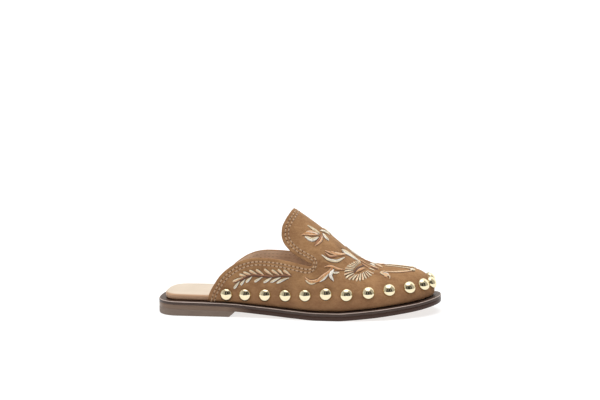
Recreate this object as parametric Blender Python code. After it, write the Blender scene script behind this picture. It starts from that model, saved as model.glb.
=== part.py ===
"""A right mule: a suede upper on a padded footbed, welt, outsole and low heel, with studs round the foot.

Lengths are in metres. The toe points along +X, the outer side of the foot faces -Y and the floor is z = 0.
A place round the foot is a turn: it runs from -1 at the back of the heel along the outer side to 0 at the
toe tip, and back along the inner side to 1. A place up the upper is a climb: 0 at the welt, 1 on the ridge.
"""

import math

import bmesh
import bpy
import numpy as np
from mathutils import Matrix, Vector
from mathutils.geometry import delaunay_2d_cdt

# Sole sizes
SOLE_LENGTH = 0.262
HEEL_WIDTH = 0.063
WAIST_WIDTH = 0.065
BALL_WIDTH = 0.088
TOE_WIDTH = 0.084
TOE_SWING = 0.005
WELT_THICKNESS = 0.0026
OUTSOLE_THICKNESS = 0.0044
HEEL_HEIGHT = 0.0066
TOE_SPRING = 0.0096
HEEL_BREAST = 0.071
HEEL_BREAST_LEAN = 0.005
SOLE_EDGE_BEVEL = 0.0008

# Upper sizes, heights measured from the top of the welt
INSTEP_HEIGHT = 0.0895
TOE_BOX_HEIGHT = 0.032
QUARTER_HEIGHT = 0.0445
# The inner quarter is cut a little lower and starts a little further forward
INNER_QUARTER_DROP = 0.0016
INNER_QUARTER_STEP = 0.0018
UPPER_WALL = 0.002
SIDE_BULGE = 0.0025
HEEL_LEDGE = 0.004
TOE_LEDGE = 0.0068

# Footbed and studs
FOOTBED_THICKNESS = 0.007
FOOTBED_EDGE_ROUND = 0.0015
STUD_COUNT = 23
STUD_DIAMETER = 0.011
STUD_HEIGHT = 0.0042
STUD_LIFT = 0.0010
STUD_RISE = 0.0095
STUD_END_DISTANCE = 0.0165

CLEARANCE = 0.0003

# Sole outline: share of the length, the width that the row follows, its outer share and its inner share
OUTLINE = (
    (0.00, HEEL_WIDTH, 0.445, 0.445),
    (0.08, HEEL_WIDTH, 0.484, 0.484),
    (0.16, HEEL_WIDTH, 0.500, 0.500),
    (0.28, WAIST_WIDTH, 0.508, 0.477),
    (0.40, WAIST_WIDTH, 0.554, 0.462),
    (0.50, WAIST_WIDTH, 0.623, 0.500),
    (0.60, BALL_WIDTH, 0.506, 0.426),
    (0.68, BALL_WIDTH, 0.523, 0.477),
    (0.76, BALL_WIDTH, 0.506, 0.500),
    (0.84, TOE_WIDTH, 0.488, 0.512),
    (0.92, TOE_WIDTH, 0.435, 0.464),
    (1.00, TOE_WIDTH, 0.369, 0.393),
)
# The ends of the outline close over these shares of the length, each as a superellipse of this power
HEEL_END_SHARE = 0.09
HEEL_CORNER_POWER = 2.7
TOE_END_SHARE = 0.235
TOE_CORNER_POWER = 2.35
SWING_START_SHARE = 0.45

# Underside of the outsole: share of the length, the height that the row follows, and its share
UNDERSIDE = (
    (0.00, HEEL_HEIGHT, 1.00),
    (0.25, HEEL_HEIGHT, 0.85),
    (0.40, HEEL_HEIGHT, 0.45),
    (0.50, HEEL_HEIGHT, 0.17),
    (0.58, HEEL_HEIGHT, 0.00),
    (0.65, TOE_SPRING, 0.00),
    (0.70, TOE_SPRING, 0.08),
    (0.78, TOE_SPRING, 0.26),
    (0.86, TOE_SPRING, 0.48),
    (0.93, TOE_SPRING, 0.68),
    (1.00, TOE_SPRING, 1.00),
)

# Ridge of the last above the welt: share of the length, the height that the row follows, and its share
RIDGE = (
    (0.20, INSTEP_HEIGHT, 1.286),
    (0.30, INSTEP_HEIGHT, 1.230),
    (0.40, INSTEP_HEIGHT, 1.110),
    (0.475, INSTEP_HEIGHT, 1.000),
    (0.55, INSTEP_HEIGHT, 0.862),
    (0.62, INSTEP_HEIGHT, 0.702),
    (0.68, INSTEP_HEIGHT, 0.546),
    (0.72, INSTEP_HEIGHT, 0.450),
    (0.75, TOE_BOX_HEIGHT, 1.114),
    (0.78, TOE_BOX_HEIGHT, 1.044),
    (0.82, TOE_BOX_HEIGHT, 1.003),
    (0.86, TOE_BOX_HEIGHT, 0.928),
    (0.90, TOE_BOX_HEIGHT, 0.838),
    (1.00, TOE_BOX_HEIGHT, 0.510),
)

# Cross-sections: share of the length, superellipse power, and share of the side bulge
SECTIONS = (
    (0.20, 1.75, 0.40),
    (0.40, 1.85, 0.60),
    (0.47, 2.12, 0.75),
    (0.55, 2.22, 0.90),
    (0.65, 2.15, 1.00),
    (0.75, 2.15, 0.95),
    (0.90, 2.30, 0.80),
    (1.00, 2.30, 0.40),
)
# Ribs stand square to the length up to RIB_TURN_SHARE, then fan round the toe to the end of the ridge
RIB_TURN_SHARE = 0.66
RIDGE_END_SHARE = 0.875
TOE_TIP_SHARE = 1 - TOE_LEDGE / SOLE_LENGTH

# Topline from the welt up the quarter, into the notch and round the tongue tab to the ridge: share of the
# length, then the height as a share of QUARTER_HEIGHT plus a share of INSTEP_HEIGHT
TOPLINE = (
    (0.188, 0.000, 0.000),
    (0.198, 0.184, 0.000),
    (0.215, 0.368, 0.000),
    (0.240, 0.575, 0.000),
    (0.270, 0.732, 0.000),
    (0.300, 0.850, 0.000),
    (0.340, 0.948, 0.000),
    (0.380, 0.991, 0.000),
    (0.420, 1.000, 0.000),
    (0.460, 0.993, 0.000),
    (0.500, 0.968, 0.000),
    (0.540, 0.936, 0.000),
    (0.563, 0.925, 0.000),
    (0.565, 0.911, 0.015),
    (0.540, 0.842, 0.090),
    (0.503, 0.758, 0.181),
    (0.477, 0.660, 0.287),
    (0.459, 0.541, 0.415),
    (0.4535, 0.438, 0.526),
    (0.4545, 0.332, 0.641),
    (0.465, 0.195, 0.789),
    (0.486, 0.025, 0.973),
)

# Height of the stud centres: share of the length, and share of STUD_RISE above the lowest place
STUD_LINE = (
    (0.20, 0.00),
    (0.33, 0.22),
    (0.40, 0.40),
    (0.48, 0.63),
    (0.55, 0.85),
    (0.61, 0.98),
    (0.68, 0.92),
    (0.78, 0.82),
    (0.88, 0.74),
    (1.00, 0.56),
)
# Studs are set by hand and some stray: stud number, share of STUD_DIAMETER along, and share of STUD_RISE up
STRAY_STUDS = (
    (2, -0.10, 0.00),
    (3, -0.09, 0.00),
    (6, 0.05, 0.06),
    (7, 0.05, 0.00),
    (8, 0.16, 0.04),
    (9, 0.22, 0.10),
    (10, 0.33, 0.06),
    (11, 0.09, 0.08),
    (12, -0.50, 0.00),
    (13, -0.90, 0.12),
    (14, -0.55, 0.00),
    (15, -0.25, 0.00),
)

# Mesh fineness
SOLE_POINTS = 100
HEEL_POINTS = 36
RIB_ROWS = 13
TOPLINE_STEP = 0.006
STUD_SIDES = 16
STUD_RINGS = 4


def curve_through(shares, values, at):
    """A smooth curve through a table's rows that never overshoots them."""
    shares = np.asarray(shares, float)
    values = np.asarray(values, float)
    step = np.diff(shares)
    rise = np.diff(values) / step
    slope = np.zeros(len(shares))
    slope[0] = rise[0]
    slope[-1] = rise[-1]
    for row in range(1, len(step)):
        before, after = rise[row - 1], rise[row]
        if before * after > 0:
            near = 2 * step[row] + step[row - 1]
            far = step[row] + 2 * step[row - 1]
            slope[row] = (near + far) / (near / before + far / after)
    at = np.clip(np.asarray(at, float), shares[0], shares[-1])
    row = np.clip(np.searchsorted(shares, at) - 1, 0, len(step) - 1)
    part = (at - shares[row]) / step[row]
    rest = 1 - part
    start = (1 + 2 * part) * rest**2 * values[row] + part * rest**2 * step[row] * slope[row]
    end = part**2 * (3 - 2 * part) * values[row + 1] - part**2 * rest * step[row] * slope[row + 1]
    return start + end


def of_size(table, at):
    """Curve through rows of share, named size and share of that size."""
    return curve_through([row[0] for row in table], [row[1] * row[2] for row in table], at)


def smooth_step(value):
    value = np.clip(value, 0, 1)
    return value * value * (3 - 2 * value)


def outline(turn):
    """Points of the sole outline (x from the heel's back, y) at the turns."""
    turn = (np.asarray(turn, float) + 1) % 2 - 1
    share = (1 - np.cos(math.pi * (1 - np.abs(turn)))) / 2
    side = np.where(turn < 0, -1.0, 1.0)
    shares = [row[0] for row in OUTLINE]
    outer = curve_through(shares, [row[1] * row[2] for row in OUTLINE], share)
    inner = curve_through(shares, [row[1] * row[3] for row in OUTLINE], share)
    into_heel = np.clip((HEEL_END_SHARE - share) / HEEL_END_SHARE, 0, 1)
    into_toe = np.clip((share - 1 + TOE_END_SHARE) / TOE_END_SHARE, 0, 1)
    closing = (1 - into_heel**HEEL_CORNER_POWER) ** (1 / HEEL_CORNER_POWER)
    closing *= (1 - into_toe**TOE_CORNER_POWER) ** (1 / TOE_CORNER_POWER)
    across = centre_line(share) + side * np.where(side < 0, outer, inner) * closing
    return np.stack([share * SOLE_LENGTH, across], axis=-1)


def centre_line(share):
    """The line that the right foot's widths are measured from swings inwards to the toe."""
    return TOE_SWING * smooth_step((share - SWING_START_SHARE) / (1 - SWING_START_SHARE))


def inset_outline(turn, inset):
    """The outline moved inwards by the inset."""
    turn = np.asarray(turn, float)
    nudge = 0.004
    along = outline(turn + nudge) - outline(turn - nudge)
    along /= np.linalg.norm(along, axis=-1, keepdims=True)
    inwards = np.stack([-along[..., 1], along[..., 0]], axis=-1)
    return outline(turn) + inwards * np.reshape(inset, np.shape(inset) + (1,) * (np.ndim(inset) > 0))


def ledge(turn):
    """Width of welt that shows outside the upper."""
    share = outline(turn)[..., 0] / SOLE_LENGTH
    return HEEL_LEDGE + (TOE_LEDGE - HEEL_LEDGE) * smooth_step((share - 0.25) / 0.7)


def underside(x):
    return of_size(UNDERSIDE, np.asarray(x) / SOLE_LENGTH)


def welt_top(x):
    return underside(x) + OUTSOLE_THICKNESS + WELT_THICKNESS


def ridge_share(share):
    """Where on the ridge the rib from this share of the feather line ends."""
    part = np.clip((share - RIB_TURN_SHARE) / (TOE_TIP_SHARE - RIB_TURN_SHARE), 0, 1)
    pace = (TOE_TIP_SHARE - RIB_TURN_SHARE) / (RIDGE_END_SHARE - RIB_TURN_SHARE)
    turned = RIB_TURN_SHARE + (RIDGE_END_SHARE - RIB_TURN_SHARE) * (pace * part - (pace - 1) * part**2)
    return np.where(share < RIB_TURN_SHARE, share, turned)


def rib(turn):
    """Foot and head of the ribs at the turns, with each section's power and bulge."""
    foot = inset_outline(turn, ledge(turn))
    share = foot[:, 0] / SOLE_LENGTH
    head_share = ridge_share(share)
    head_x = head_share * SOLE_LENGTH
    head_z = welt_top(head_x) + of_size(RIDGE, head_share)
    head = np.stack([head_x, centre_line(head_share), head_z], axis=-1)
    foot = np.column_stack([foot, welt_top(foot[:, 0]) + CLEARANCE])
    shares = [row[0] for row in SECTIONS]
    power = curve_through(shares, [row[1] for row in SECTIONS], share)
    bulge = SIDE_BULGE * curve_through(shares, [row[2] for row in SECTIONS], share)
    return foot, head, power, bulge


def upper_point(turn, climb):
    """Points on the outside of the upper."""
    foot, head, power, bulge = rib(turn)
    angle = np.asarray(climb) * math.pi / 2
    inwards = 1 - np.cos(angle).clip(0) ** (2 / power)
    upwards = np.sin(angle) ** (2 / power)
    reach = head - foot
    flat = reach[:, :2] / np.linalg.norm(reach[:, :2], axis=1, keepdims=True)
    swell = bulge * 6.75 * upwards * (1 - upwards) ** 2
    point = foot.copy()
    point[:, :2] += reach[:, :2] * inwards[:, None] - flat * swell[:, None]
    point[:, 2] += reach[:, 2] * upwards
    return point


def upper_normal(turn, climb):
    """Outward normals of the upper."""
    nudge = 0.002
    up = upper_point(turn, np.clip(climb + nudge, 0, 1)) - upper_point(turn, np.clip(climb - nudge, 0, 1))
    along = upper_point(turn + nudge, climb) - upper_point(turn - nudge, climb)
    normal = np.cross(along, up)
    return normal / np.linalg.norm(normal, axis=1, keepdims=True)


def spread(turn, climb):
    """Where a place on the upper lies on the flat pattern that the mesh is drawn on."""
    foot, head, _, _ = rib(turn)
    return foot[:, :2] + (head - foot)[:, :2] * np.asarray(climb)[:, None]


def climb_at(turn, height):
    """The climb whose height above the welt is this."""
    foot, head, power, _ = rib(turn)
    part = np.clip(height / (head - foot)[:, 2], 0, 1)
    return np.arcsin(part ** (power / 2)) * 2 / math.pi


def turn_at(share, side):
    """The turn whose rib stands at this share of the length, on the outer (-1) or inner (1) side."""
    turns = np.linspace(0.999, 0.2, 400)
    feet = inset_outline(side * turns, ledge(side * turns))[:, 0] / SOLE_LENGTH
    return side * np.interp(share, feet, turns)


def topline(side):
    """Turns and climbs of the topline on one side, from the welt to the ridge, in even steps."""
    share, of_quarter, of_instep = np.transpose(TOPLINE)
    height = of_quarter * QUARTER_HEIGHT + of_instep * INSTEP_HEIGHT
    if side > 0:
        height = height - INNER_QUARTER_DROP * smooth_step(of_quarter)
        share = share + INNER_QUARTER_STEP / SOLE_LENGTH * smooth_step((0.45 - share) / 0.2)
    travel = np.cumsum(np.hypot(np.diff(share, prepend=share[0]) * SOLE_LENGTH, np.diff(height, prepend=0)))
    count = round(travel[-1] / TOPLINE_STEP)
    at = np.linspace(0, travel[-1], count + 1)
    turn = turn_at(curve_through(travel, share, at), side)
    climb = climb_at(turn, curve_through(travel, height, at))
    climb[0] = 0
    climb[-1] = 1
    return turn, climb


def inside(points, border):
    """Which flat points lie inside the border."""
    x, y = points[:, :1], points[:, 1:]
    start, end = border, np.roll(border, -1, axis=0)
    spans = (start[:, 1] > y) != (end[:, 1] > y)
    slant = np.where(end[:, 1] == start[:, 1], 1, end[:, 1] - start[:, 1])
    crossing = start[:, 0] + (y - start[:, 1]) * (end[:, 0] - start[:, 0]) / slant
    return np.sum(spans & (x < crossing), axis=1) % 2 == 1


def near_border(points, border, distance):
    """Which points lie nearer than the distance to the closed border, in space."""
    start, end = border, np.roll(border, -1, axis=0)
    along = end - start
    part = np.einsum("pbk,bk->pb", points[:, None] - start, along) / np.sum(along**2, axis=1)
    foot = start + part.clip(0, 1)[..., None] * along
    return np.linalg.norm(points[:, None] - foot, axis=2).min(axis=1) < distance


def crosses(first, second, border):
    """Whether the flat edge from first to second crosses the border."""
    def turning(a, b, c):
        ahead, aside = b - a, c - a
        return ahead[..., 0] * aside[..., 1] > ahead[..., 1] * aside[..., 0]

    start, end = border, np.roll(border, -1, axis=0)
    apart = turning(first, start, end) != turning(second, start, end)
    return bool(np.any(apart & (turning(first, second, start) != turning(first, second, end))))


def upper_sheet():
    """Turns, climbs, triangles and border loop of the upper's sheet, cut along the topline."""
    outer_turn, outer_climb = topline(-1)
    inner_turn, inner_climb = topline(1)
    rib_count = round((inner_turn[0] - outer_turn[0]) * SOLE_POINTS / 2)
    foot_turn = np.linspace(outer_turn[0], inner_turn[0], rib_count + 1)
    border_turn = np.concatenate([foot_turn, inner_turn[1:-1], outer_turn[:0:-1]])
    border_climb = np.concatenate([0 * foot_turn, inner_climb[1:-1], outer_climb[:0:-1]])
    border = spread(border_turn, border_climb)
    border_points = upper_point(border_turn, border_climb)

    grid_turn, grid_row = np.meshgrid(foot_turn[1:-1], np.arange(1, RIB_ROWS + 1), indexing="ij")
    grid_turn, grid_row = grid_turn.ravel(), grid_row.ravel()
    kept = (grid_row < RIB_ROWS) | (grid_turn <= 1e-9)
    grid_turn, grid_row = grid_turn[kept], grid_row[kept]
    flat = spread(grid_turn, grid_row / RIB_ROWS)
    points = upper_point(grid_turn, grid_row / RIB_ROWS)
    cut = near_border(points, border_points[rib_count:], 0.4 * TOPLINE_STEP)
    kept = inside(flat, border) & ~cut
    grid_turn, grid_row, flat = grid_turn[kept], grid_row[kept], flat[kept]

    place = {}
    first = len(border)
    column = np.round((grid_turn - foot_turn[0]) / (foot_turn[1] - foot_turn[0])).astype(int)
    for index, key in enumerate(zip(column, grid_row)):
        place[key] = first + index
    everything = np.vstack([border, flat])
    edges = [(index, (index + 1) % first) for index in range(first)]
    for (rib_index, row), index in place.items():
        for other in ((rib_index + 1, row), (rib_index, row + 1)):
            if other in place and not crosses(everything[index], everything[place[other]], border):
                edges.append((index, place[other]))

    made = delaunay_2d_cdt([Vector(p) for p in everything], edges, [list(range(first))], 1, 1e-7)
    source = [origins[0] for origins in made[3]]
    faces = [[source[corner] for corner in face] for face in made[2]]
    turn = np.concatenate([border_turn, grid_turn])
    climb = np.concatenate([border_climb, grid_row / RIB_ROWS])
    return turn, climb, faces, list(range(first))


def sheet_normals(points, faces):
    """Normals of a sheet's points, weighted by the area round them."""
    normals = np.zeros_like(points)
    for face in faces:
        a, b, c = points[face]
        normals[face] += np.cross(b - a, c - a)
    return normals / np.linalg.norm(normals, axis=1, keepdims=True)


def material(name, colour, roughness, metallic=0.0):
    made = bpy.data.materials.new(name)
    made.use_nodes = True
    shader = made.node_tree.nodes["Principled BSDF"]
    shader.inputs["Base Color"].default_value = (*colour, 1)
    shader.inputs["Roughness"].default_value = roughness
    shader.inputs["Metallic"].default_value = metallic
    return made


def solid(name, points, faces, finish, carrier):
    """A named object from points and faces, turned outwards and carried by the empty."""
    mesh = bpy.data.meshes.new(name)
    mesh.from_pydata([tuple(map(float, point)) for point in points], [], faces)
    shape = bmesh.new()
    shape.from_mesh(mesh)
    bmesh.ops.triangulate(shape, faces=shape.faces)
    bmesh.ops.recalc_face_normals(shape, faces=shape.faces)
    shape.to_mesh(mesh)
    shape.free()
    mesh.materials.append(finish)
    made = bpy.data.objects.new(name, mesh)
    made.parent = carrier
    bpy.context.scene.collection.objects.link(made)
    return made


def ring_sides(count, level):
    """Faces between a ring of points and the next ring."""
    low, high = level * count, (level + 1) * count
    return [(low + i, low + (i + 1) % count, high + (i + 1) % count, high + i) for i in range(count)]


def ring_cap(count, first):
    """Faces that close a ring by joining its two sides across the foot."""
    half = (count - 1) // 2
    faces = [(first, first + 1, first + count - 1)]
    for i in range(1, half):
        faces.append((first + i, first + i + 1, first + count - i - 1, first + count - i))
    if count % 2 == 0:
        faces.append((first + half, first + half + 1, first + count - half))
    return faces


def plate(name, levels, finish, carrier):
    """A solid layer of the sole from levels of inset and height, lowest first."""
    turns = np.linspace(-1, 1, SOLE_POINTS + 1)[:-1]
    rings = []
    faces = []
    for inset, height in levels:
        ring = inset_outline(turns, inset)
        rings.append(np.column_stack([ring, height(ring[:, 0])]))
    for level in range(len(levels) - 1):
        faces += ring_sides(SOLE_POINTS, level)
    faces += ring_cap(SOLE_POINTS, 0)
    faces += ring_cap(SOLE_POINTS, (len(levels) - 1) * SOLE_POINTS)
    return solid(name, np.vstack(rings), faces, finish, carrier)


def add_outsole(carrier):
    bevel = SOLE_EDGE_BEVEL
    top = OUTSOLE_THICKNESS - CLEARANCE
    levels = (
        (bevel, underside),
        (0, lambda x: underside(x) + bevel),
        (0, lambda x: underside(x) + top),
    )
    plate("outsole", levels, material("sole_leather", (0.085, 0.050, 0.036), 0.45), carrier)


def add_welt(carrier):
    bevel = 0.5 * SOLE_EDGE_BEVEL
    levels = (
        (0, lambda x: welt_top(x) - WELT_THICKNESS),
        (0, lambda x: welt_top(x) - bevel),
        (bevel, welt_top),
    )
    plate("welt", levels, material("welt_leather", (0.22, 0.15, 0.115), 0.5), carrier)


def add_footbed(carrier):
    """The footbed fills the upper's inside from side to side and stands free at the heel."""
    turns = np.linspace(-1, 1, SOLE_POINTS + 1)[:-1]
    edge = ledge(turns) + UPPER_WALL + CLEARANCE
    rounding = FOOTBED_EDGE_ROUND

    def raised(height):
        return lambda x: welt_top(x) + height

    levels = (
        (edge, raised(CLEARANCE)),
        (edge, raised(FOOTBED_THICKNESS - rounding)),
        (edge + 0.3 * rounding, raised(FOOTBED_THICKNESS - 0.3 * rounding)),
        (edge + rounding, raised(FOOTBED_THICKNESS)),
    )
    plate("footbed", levels, material("footbed_leather", (0.80, 0.66, 0.53), 0.5), carrier)


def add_heel(carrier):
    """The heel block follows the outline back from its slanted breast."""
    half = HEEL_POINTS // 2
    levels = (
        (SOLE_EDGE_BEVEL, HEEL_BREAST, lambda x: 0 * x),
        (0, HEEL_BREAST, lambda x: 0 * x + SOLE_EDGE_BEVEL),
        (0, HEEL_BREAST + HEEL_BREAST_LEAN, lambda x: underside(x) - CLEARANCE),
    )
    rings = []
    faces = []
    for inset, breast, height in levels:
        last_turn = 1 - math.acos(1 - 2 * breast / SOLE_LENGTH) / math.pi
        outer = np.linspace(-1, -last_turn, half + 1)
        inner = np.linspace(last_turn, 1, half + 1)[:-1]
        ring = inset_outline(np.concatenate([outer, inner]), inset)
        ring[half : half + 2, 0] = breast - inset
        rings.append(np.column_stack([ring, height(ring[:, 0])]))
    count = len(rings[0])
    for level in range(len(levels) - 1):
        faces += ring_sides(count, level)
    faces += ring_cap(count, 0)
    faces += ring_cap(count, (len(levels) - 1) * count)
    solid("heel", np.vstack(rings), faces, material("heel_rubber", (0.15, 0.11, 0.085), 0.6), carrier)


def add_upper(carrier):
    """The upper: its outer sheet, the lining side one wall further in, and the rim between them."""
    turn, climb, outer_faces, border = upper_sheet()
    outer = upper_point(turn, climb)
    normals = sheet_normals(outer, outer_faces)
    if normals[np.argmin(np.abs(turn) + climb), 0] < 0:
        normals = -normals
    footing = climb == 0
    normals[footing, 2] = 0
    normals[footing] /= np.linalg.norm(normals[footing], axis=1, keepdims=True)
    inner = outer - UPPER_WALL * normals
    count = len(outer)
    faces = [tuple(face) for face in outer_faces]
    faces += [tuple(count + corner for corner in reversed(face)) for face in outer_faces]
    for here, there in zip(border, border[1:] + border[:1]):
        faces.append((there, here, count + here, count + there))
    solid("upper", np.vstack([outer, inner]), faces, material("suede", (0.36, 0.225, 0.13), 0.9), carrier)


def stud_places():
    """Turns and climbs of the stud centres, evenly spaced along the stud line."""
    lowest = STUD_DIAMETER / 2 + STUD_LIFT
    share, of_quarter, _ = np.transpose(TOPLINE[:4])
    start = np.interp(lowest, of_quarter * QUARTER_HEIGHT, share)
    turns = np.linspace(turn_at(start, -1), turn_at(start, 1), 400)
    share = inset_outline(turns, ledge(turns))[:, 0] / SOLE_LENGTH
    height = lowest + STUD_RISE * curve_through(*np.transpose(STUD_LINE), share)
    line = upper_point(turns, climb_at(turns, height))
    travel = np.cumsum(np.linalg.norm(np.diff(line, axis=0, prepend=line[:1]), axis=1))
    at = np.linspace(STUD_END_DISTANCE, travel[-1] - STUD_END_DISTANCE, STUD_COUNT)
    up = np.interp(at, travel, height)
    for number, along, upwards in STRAY_STUDS:
        if number <= STUD_COUNT:
            at[number - 1] += along * STUD_DIAMETER
            up[number - 1] += upwards * STUD_RISE
    turn = np.interp(at, travel, turns)
    return turn, climb_at(turn, up)


def height_over(turn, climb, frame, across, up):
    """Height of the upper's surface over a stud's own flat base, at places on that base."""
    turn = np.full(len(across), turn)
    climb = np.full(len(across), climb)
    inverse = np.array(frame.inverted())
    nudge = 0.0005

    def local(turn, climb):
        point = upper_point(turn, climb)
        return point @ inverse[:3, :3].T + inverse[:3, 3]

    for _ in range(5):
        here = local(turn, climb)
        by_turn = (local(turn + nudge, climb) - here) / nudge
        by_climb = (local(turn, climb + nudge) - here) / nudge
        miss_x = across - here[:, 0]
        miss_y = up - here[:, 1]
        size = by_turn[:, 0] * by_climb[:, 1] - by_turn[:, 1] * by_climb[:, 0]
        turn = turn + (miss_x * by_climb[:, 1] - miss_y * by_climb[:, 0]) / size
        climb = climb + (miss_y * by_turn[:, 0] - miss_x * by_turn[:, 1]) / size
        climb = np.clip(climb, 0, 1)
    return local(turn, climb)[:, 2]


def add_stud(name, turn, climb, finish, carrier):
    """A domed stud whose base follows the upper beneath it."""
    centre = upper_point(np.array([turn]), np.array([climb]))[0]
    normal = Vector(upper_normal(np.array([turn]), np.array([climb]))[0])
    rotation = normal.to_track_quat("Z", "Y")
    frame = Matrix.LocRotScale(Vector(centre), rotation, None)
    around = np.arange(STUD_SIDES) * 2 * math.pi / STUD_SIDES
    across = np.cos(around) * STUD_DIAMETER / 2
    up = np.sin(around) * STUD_DIAMETER / 2
    points = [np.array([[0, 0, CLEARANCE]])]
    for part in (0.55, 1):
        seat = height_over(turn, climb, frame, part * across, part * up) + CLEARANCE
        points.append(np.column_stack([part * across, part * up, seat]))
    for ring in range(1, STUD_RINGS):
        angle = math.pi / 2 * (ring - 0.75) / (STUD_RINGS - 0.75)
        flat = 0 * across + CLEARANCE + STUD_HEIGHT * math.sin(angle)
        points.append(np.column_stack([across * math.cos(angle), up * math.cos(angle), flat]))
    points.append(np.array([[0, 0, CLEARANCE + STUD_HEIGHT]]))
    last = 1 + (STUD_RINGS + 1) * STUD_SIDES
    faces = []
    for i in range(STUD_SIDES):
        after = (i + 1) % STUD_SIDES
        faces.append((0, 1 + after, 1 + i))
        top = last - STUD_SIDES
        faces.append((top + i, top + after, last))
        for ring in range(STUD_RINGS):
            low, high = 1 + ring * STUD_SIDES, 1 + (ring + 1) * STUD_SIDES
            faces.append((low + i, low + after, high + after, high + i))
    made = solid(name, np.vstack(points), faces, finish, carrier)
    made.location = frame.translation
    made.rotation_mode = "QUATERNION"
    made.rotation_quaternion = rotation


def add_studs(carrier):
    for index, (turn, climb) in enumerate(zip(*stud_places())):
        number = f"stud_{index + 1:02d}"
        finish = material(f"brass_{index + 1:02d}", (0.83, 0.70, 0.46), 0.15, 1.0)
        add_stud(number, turn, climb, finish, carrier)


def centre_on_floor(carrier):
    """Move the carrier so that the shoe stands centred over the origin."""
    bpy.context.view_layer.update()
    corners = []
    for made in carrier.children:
        corners += [made.matrix_world @ point.co for point in made.data.vertices]
    corners = np.array(corners)
    middle = (corners.min(axis=0) + corners.max(axis=0)) / 2
    carrier.location = (-middle[0], -middle[1], 0)


def main():
    for old in list(bpy.data.objects):
        bpy.data.objects.remove(old)
    mule = bpy.data.objects.new("mule", None)
    bpy.context.scene.collection.objects.link(mule)
    add_heel(mule)
    add_outsole(mule)
    add_welt(mule)
    add_footbed(mule)
    add_upper(mule)
    add_studs(mule)
    centre_on_floor(mule)


main()
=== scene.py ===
"""Studio scene of a right mule in tan suede, with its stitching, embroidery, studs and finished sole edges.

Lengths are in metres. The toe points along +X, the outer side of the foot faces -Y and the floor is z = 0.
A place round the foot is a turn: it runs from -1 at the back of the heel along the outer side to 0 at the
toe tip, and back along the inner side to 1. A place up the upper is a climb: 0 at the welt, 1 on the ridge.
"""

import math

import bpy
import numpy as np
from mathutils import Matrix, Vector
from mathutils.geometry import delaunay_2d_cdt
from mathutils.kdtree import KDTree


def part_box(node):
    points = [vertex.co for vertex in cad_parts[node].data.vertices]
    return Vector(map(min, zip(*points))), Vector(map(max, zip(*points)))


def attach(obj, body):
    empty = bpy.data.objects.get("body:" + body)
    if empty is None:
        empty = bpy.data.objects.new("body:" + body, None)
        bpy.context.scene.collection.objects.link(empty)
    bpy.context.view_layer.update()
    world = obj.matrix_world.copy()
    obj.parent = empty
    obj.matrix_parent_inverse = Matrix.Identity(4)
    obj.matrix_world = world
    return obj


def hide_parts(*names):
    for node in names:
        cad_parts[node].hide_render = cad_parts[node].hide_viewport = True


# Sole sizes
SOLE_LENGTH = 0.262
HEEL_WIDTH = 0.063
WAIST_WIDTH = 0.065
BALL_WIDTH = 0.088
TOE_WIDTH = 0.084
TOE_SWING = 0.005
WELT_THICKNESS = 0.0026
OUTSOLE_THICKNESS = 0.0044
HEEL_HEIGHT = 0.0066
TOE_SPRING = 0.0096
HEEL_BREAST = 0.071
HEEL_BREAST_LEAN = 0.005
SOLE_EDGE_BEVEL = 0.0008

# Upper sizes, heights measured from the top of the welt
INSTEP_HEIGHT = 0.0895
TOE_BOX_HEIGHT = 0.032
QUARTER_HEIGHT = 0.0445
INNER_QUARTER_DROP = 0.0016
INNER_QUARTER_STEP = 0.0018
UPPER_WALL = 0.002
SIDE_BULGE = 0.0025
HEEL_LEDGE = 0.004
TOE_LEDGE = 0.0068
# The welt's ledge widens between these shares of the length
LEDGE_START_SHARE = 0.25
LEDGE_END_SHARE = 0.95

# Footbed and studs
FOOTBED_THICKNESS = 0.007
WELT_EDGE_ROUND = 0.0011
# The footbed's edge rounds over this height and this far inwards
FOOTBED_EDGE_ROUND = 0.0032
FOOTBED_EDGE_INSET = 0.0046
# Its top is higher in the middle by this, down to nothing over this share of half its length at each end
FOOTBED_CROWN = 0.0006
CROWN_END_SHARE = 0.08
STUD_COUNT = 23
STUD_DIAMETER = 0.011
STUD_HEIGHT = 0.0042
STUD_LIFT = 0.0010
STUD_RISE = 0.0095
STUD_END_DISTANCE = 0.0165

CLEARANCE = 0.0003
# The welt is drawn down by this onto the outsole, and the heel is drawn up to this near it
WELT_DROP = 0.8 * CLEARANCE
HEEL_GAP = 0.00005
# The edges of welt and outsole turn in by this at the seam between them
SEAM_INSET = 0.0001
# Share of the bevel that the outsole's lower edge keeps over the heel
HEEL_BEVEL_SHARE = 0.1
# Foot of the footbed: how far each level stands in from its edge, and its height above the welt
FOOTBED_FOOT = (
    (0.0012, CLEARANCE),
    (0.0003, 0.0009),
    (0.0, 0.0018),
)
# The finished studs spread this far over the suede round their solids
STUD_SKIRT = 0.00045
# Edge of a finished stud: how far in from its skirt each ring stands, and its height above the suede
STUD_FOOT = (
    (0.0006, CLEARANCE),
    (0.0002, 0.00005),
    (0.0, 0.00025),
)
# The first rings of the dome stay at least this far above the suede
STUD_LOW_RINGS = (0.0007, 0.0010)
STUD_DOME_POWER = 1.2

# Sole outline: share of the length, the width that the row follows, its outer share and its inner share
OUTLINE = (
    (0.00, HEEL_WIDTH, 0.445, 0.445),
    (0.08, HEEL_WIDTH, 0.484, 0.484),
    (0.16, HEEL_WIDTH, 0.500, 0.500),
    (0.28, WAIST_WIDTH, 0.508, 0.477),
    (0.40, WAIST_WIDTH, 0.554, 0.462),
    (0.50, WAIST_WIDTH, 0.623, 0.500),
    (0.60, BALL_WIDTH, 0.506, 0.426),
    (0.68, BALL_WIDTH, 0.523, 0.477),
    (0.76, BALL_WIDTH, 0.506, 0.500),
    (0.84, TOE_WIDTH, 0.488, 0.512),
    (0.92, TOE_WIDTH, 0.435, 0.464),
    (1.00, TOE_WIDTH, 0.369, 0.393),
)
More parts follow.
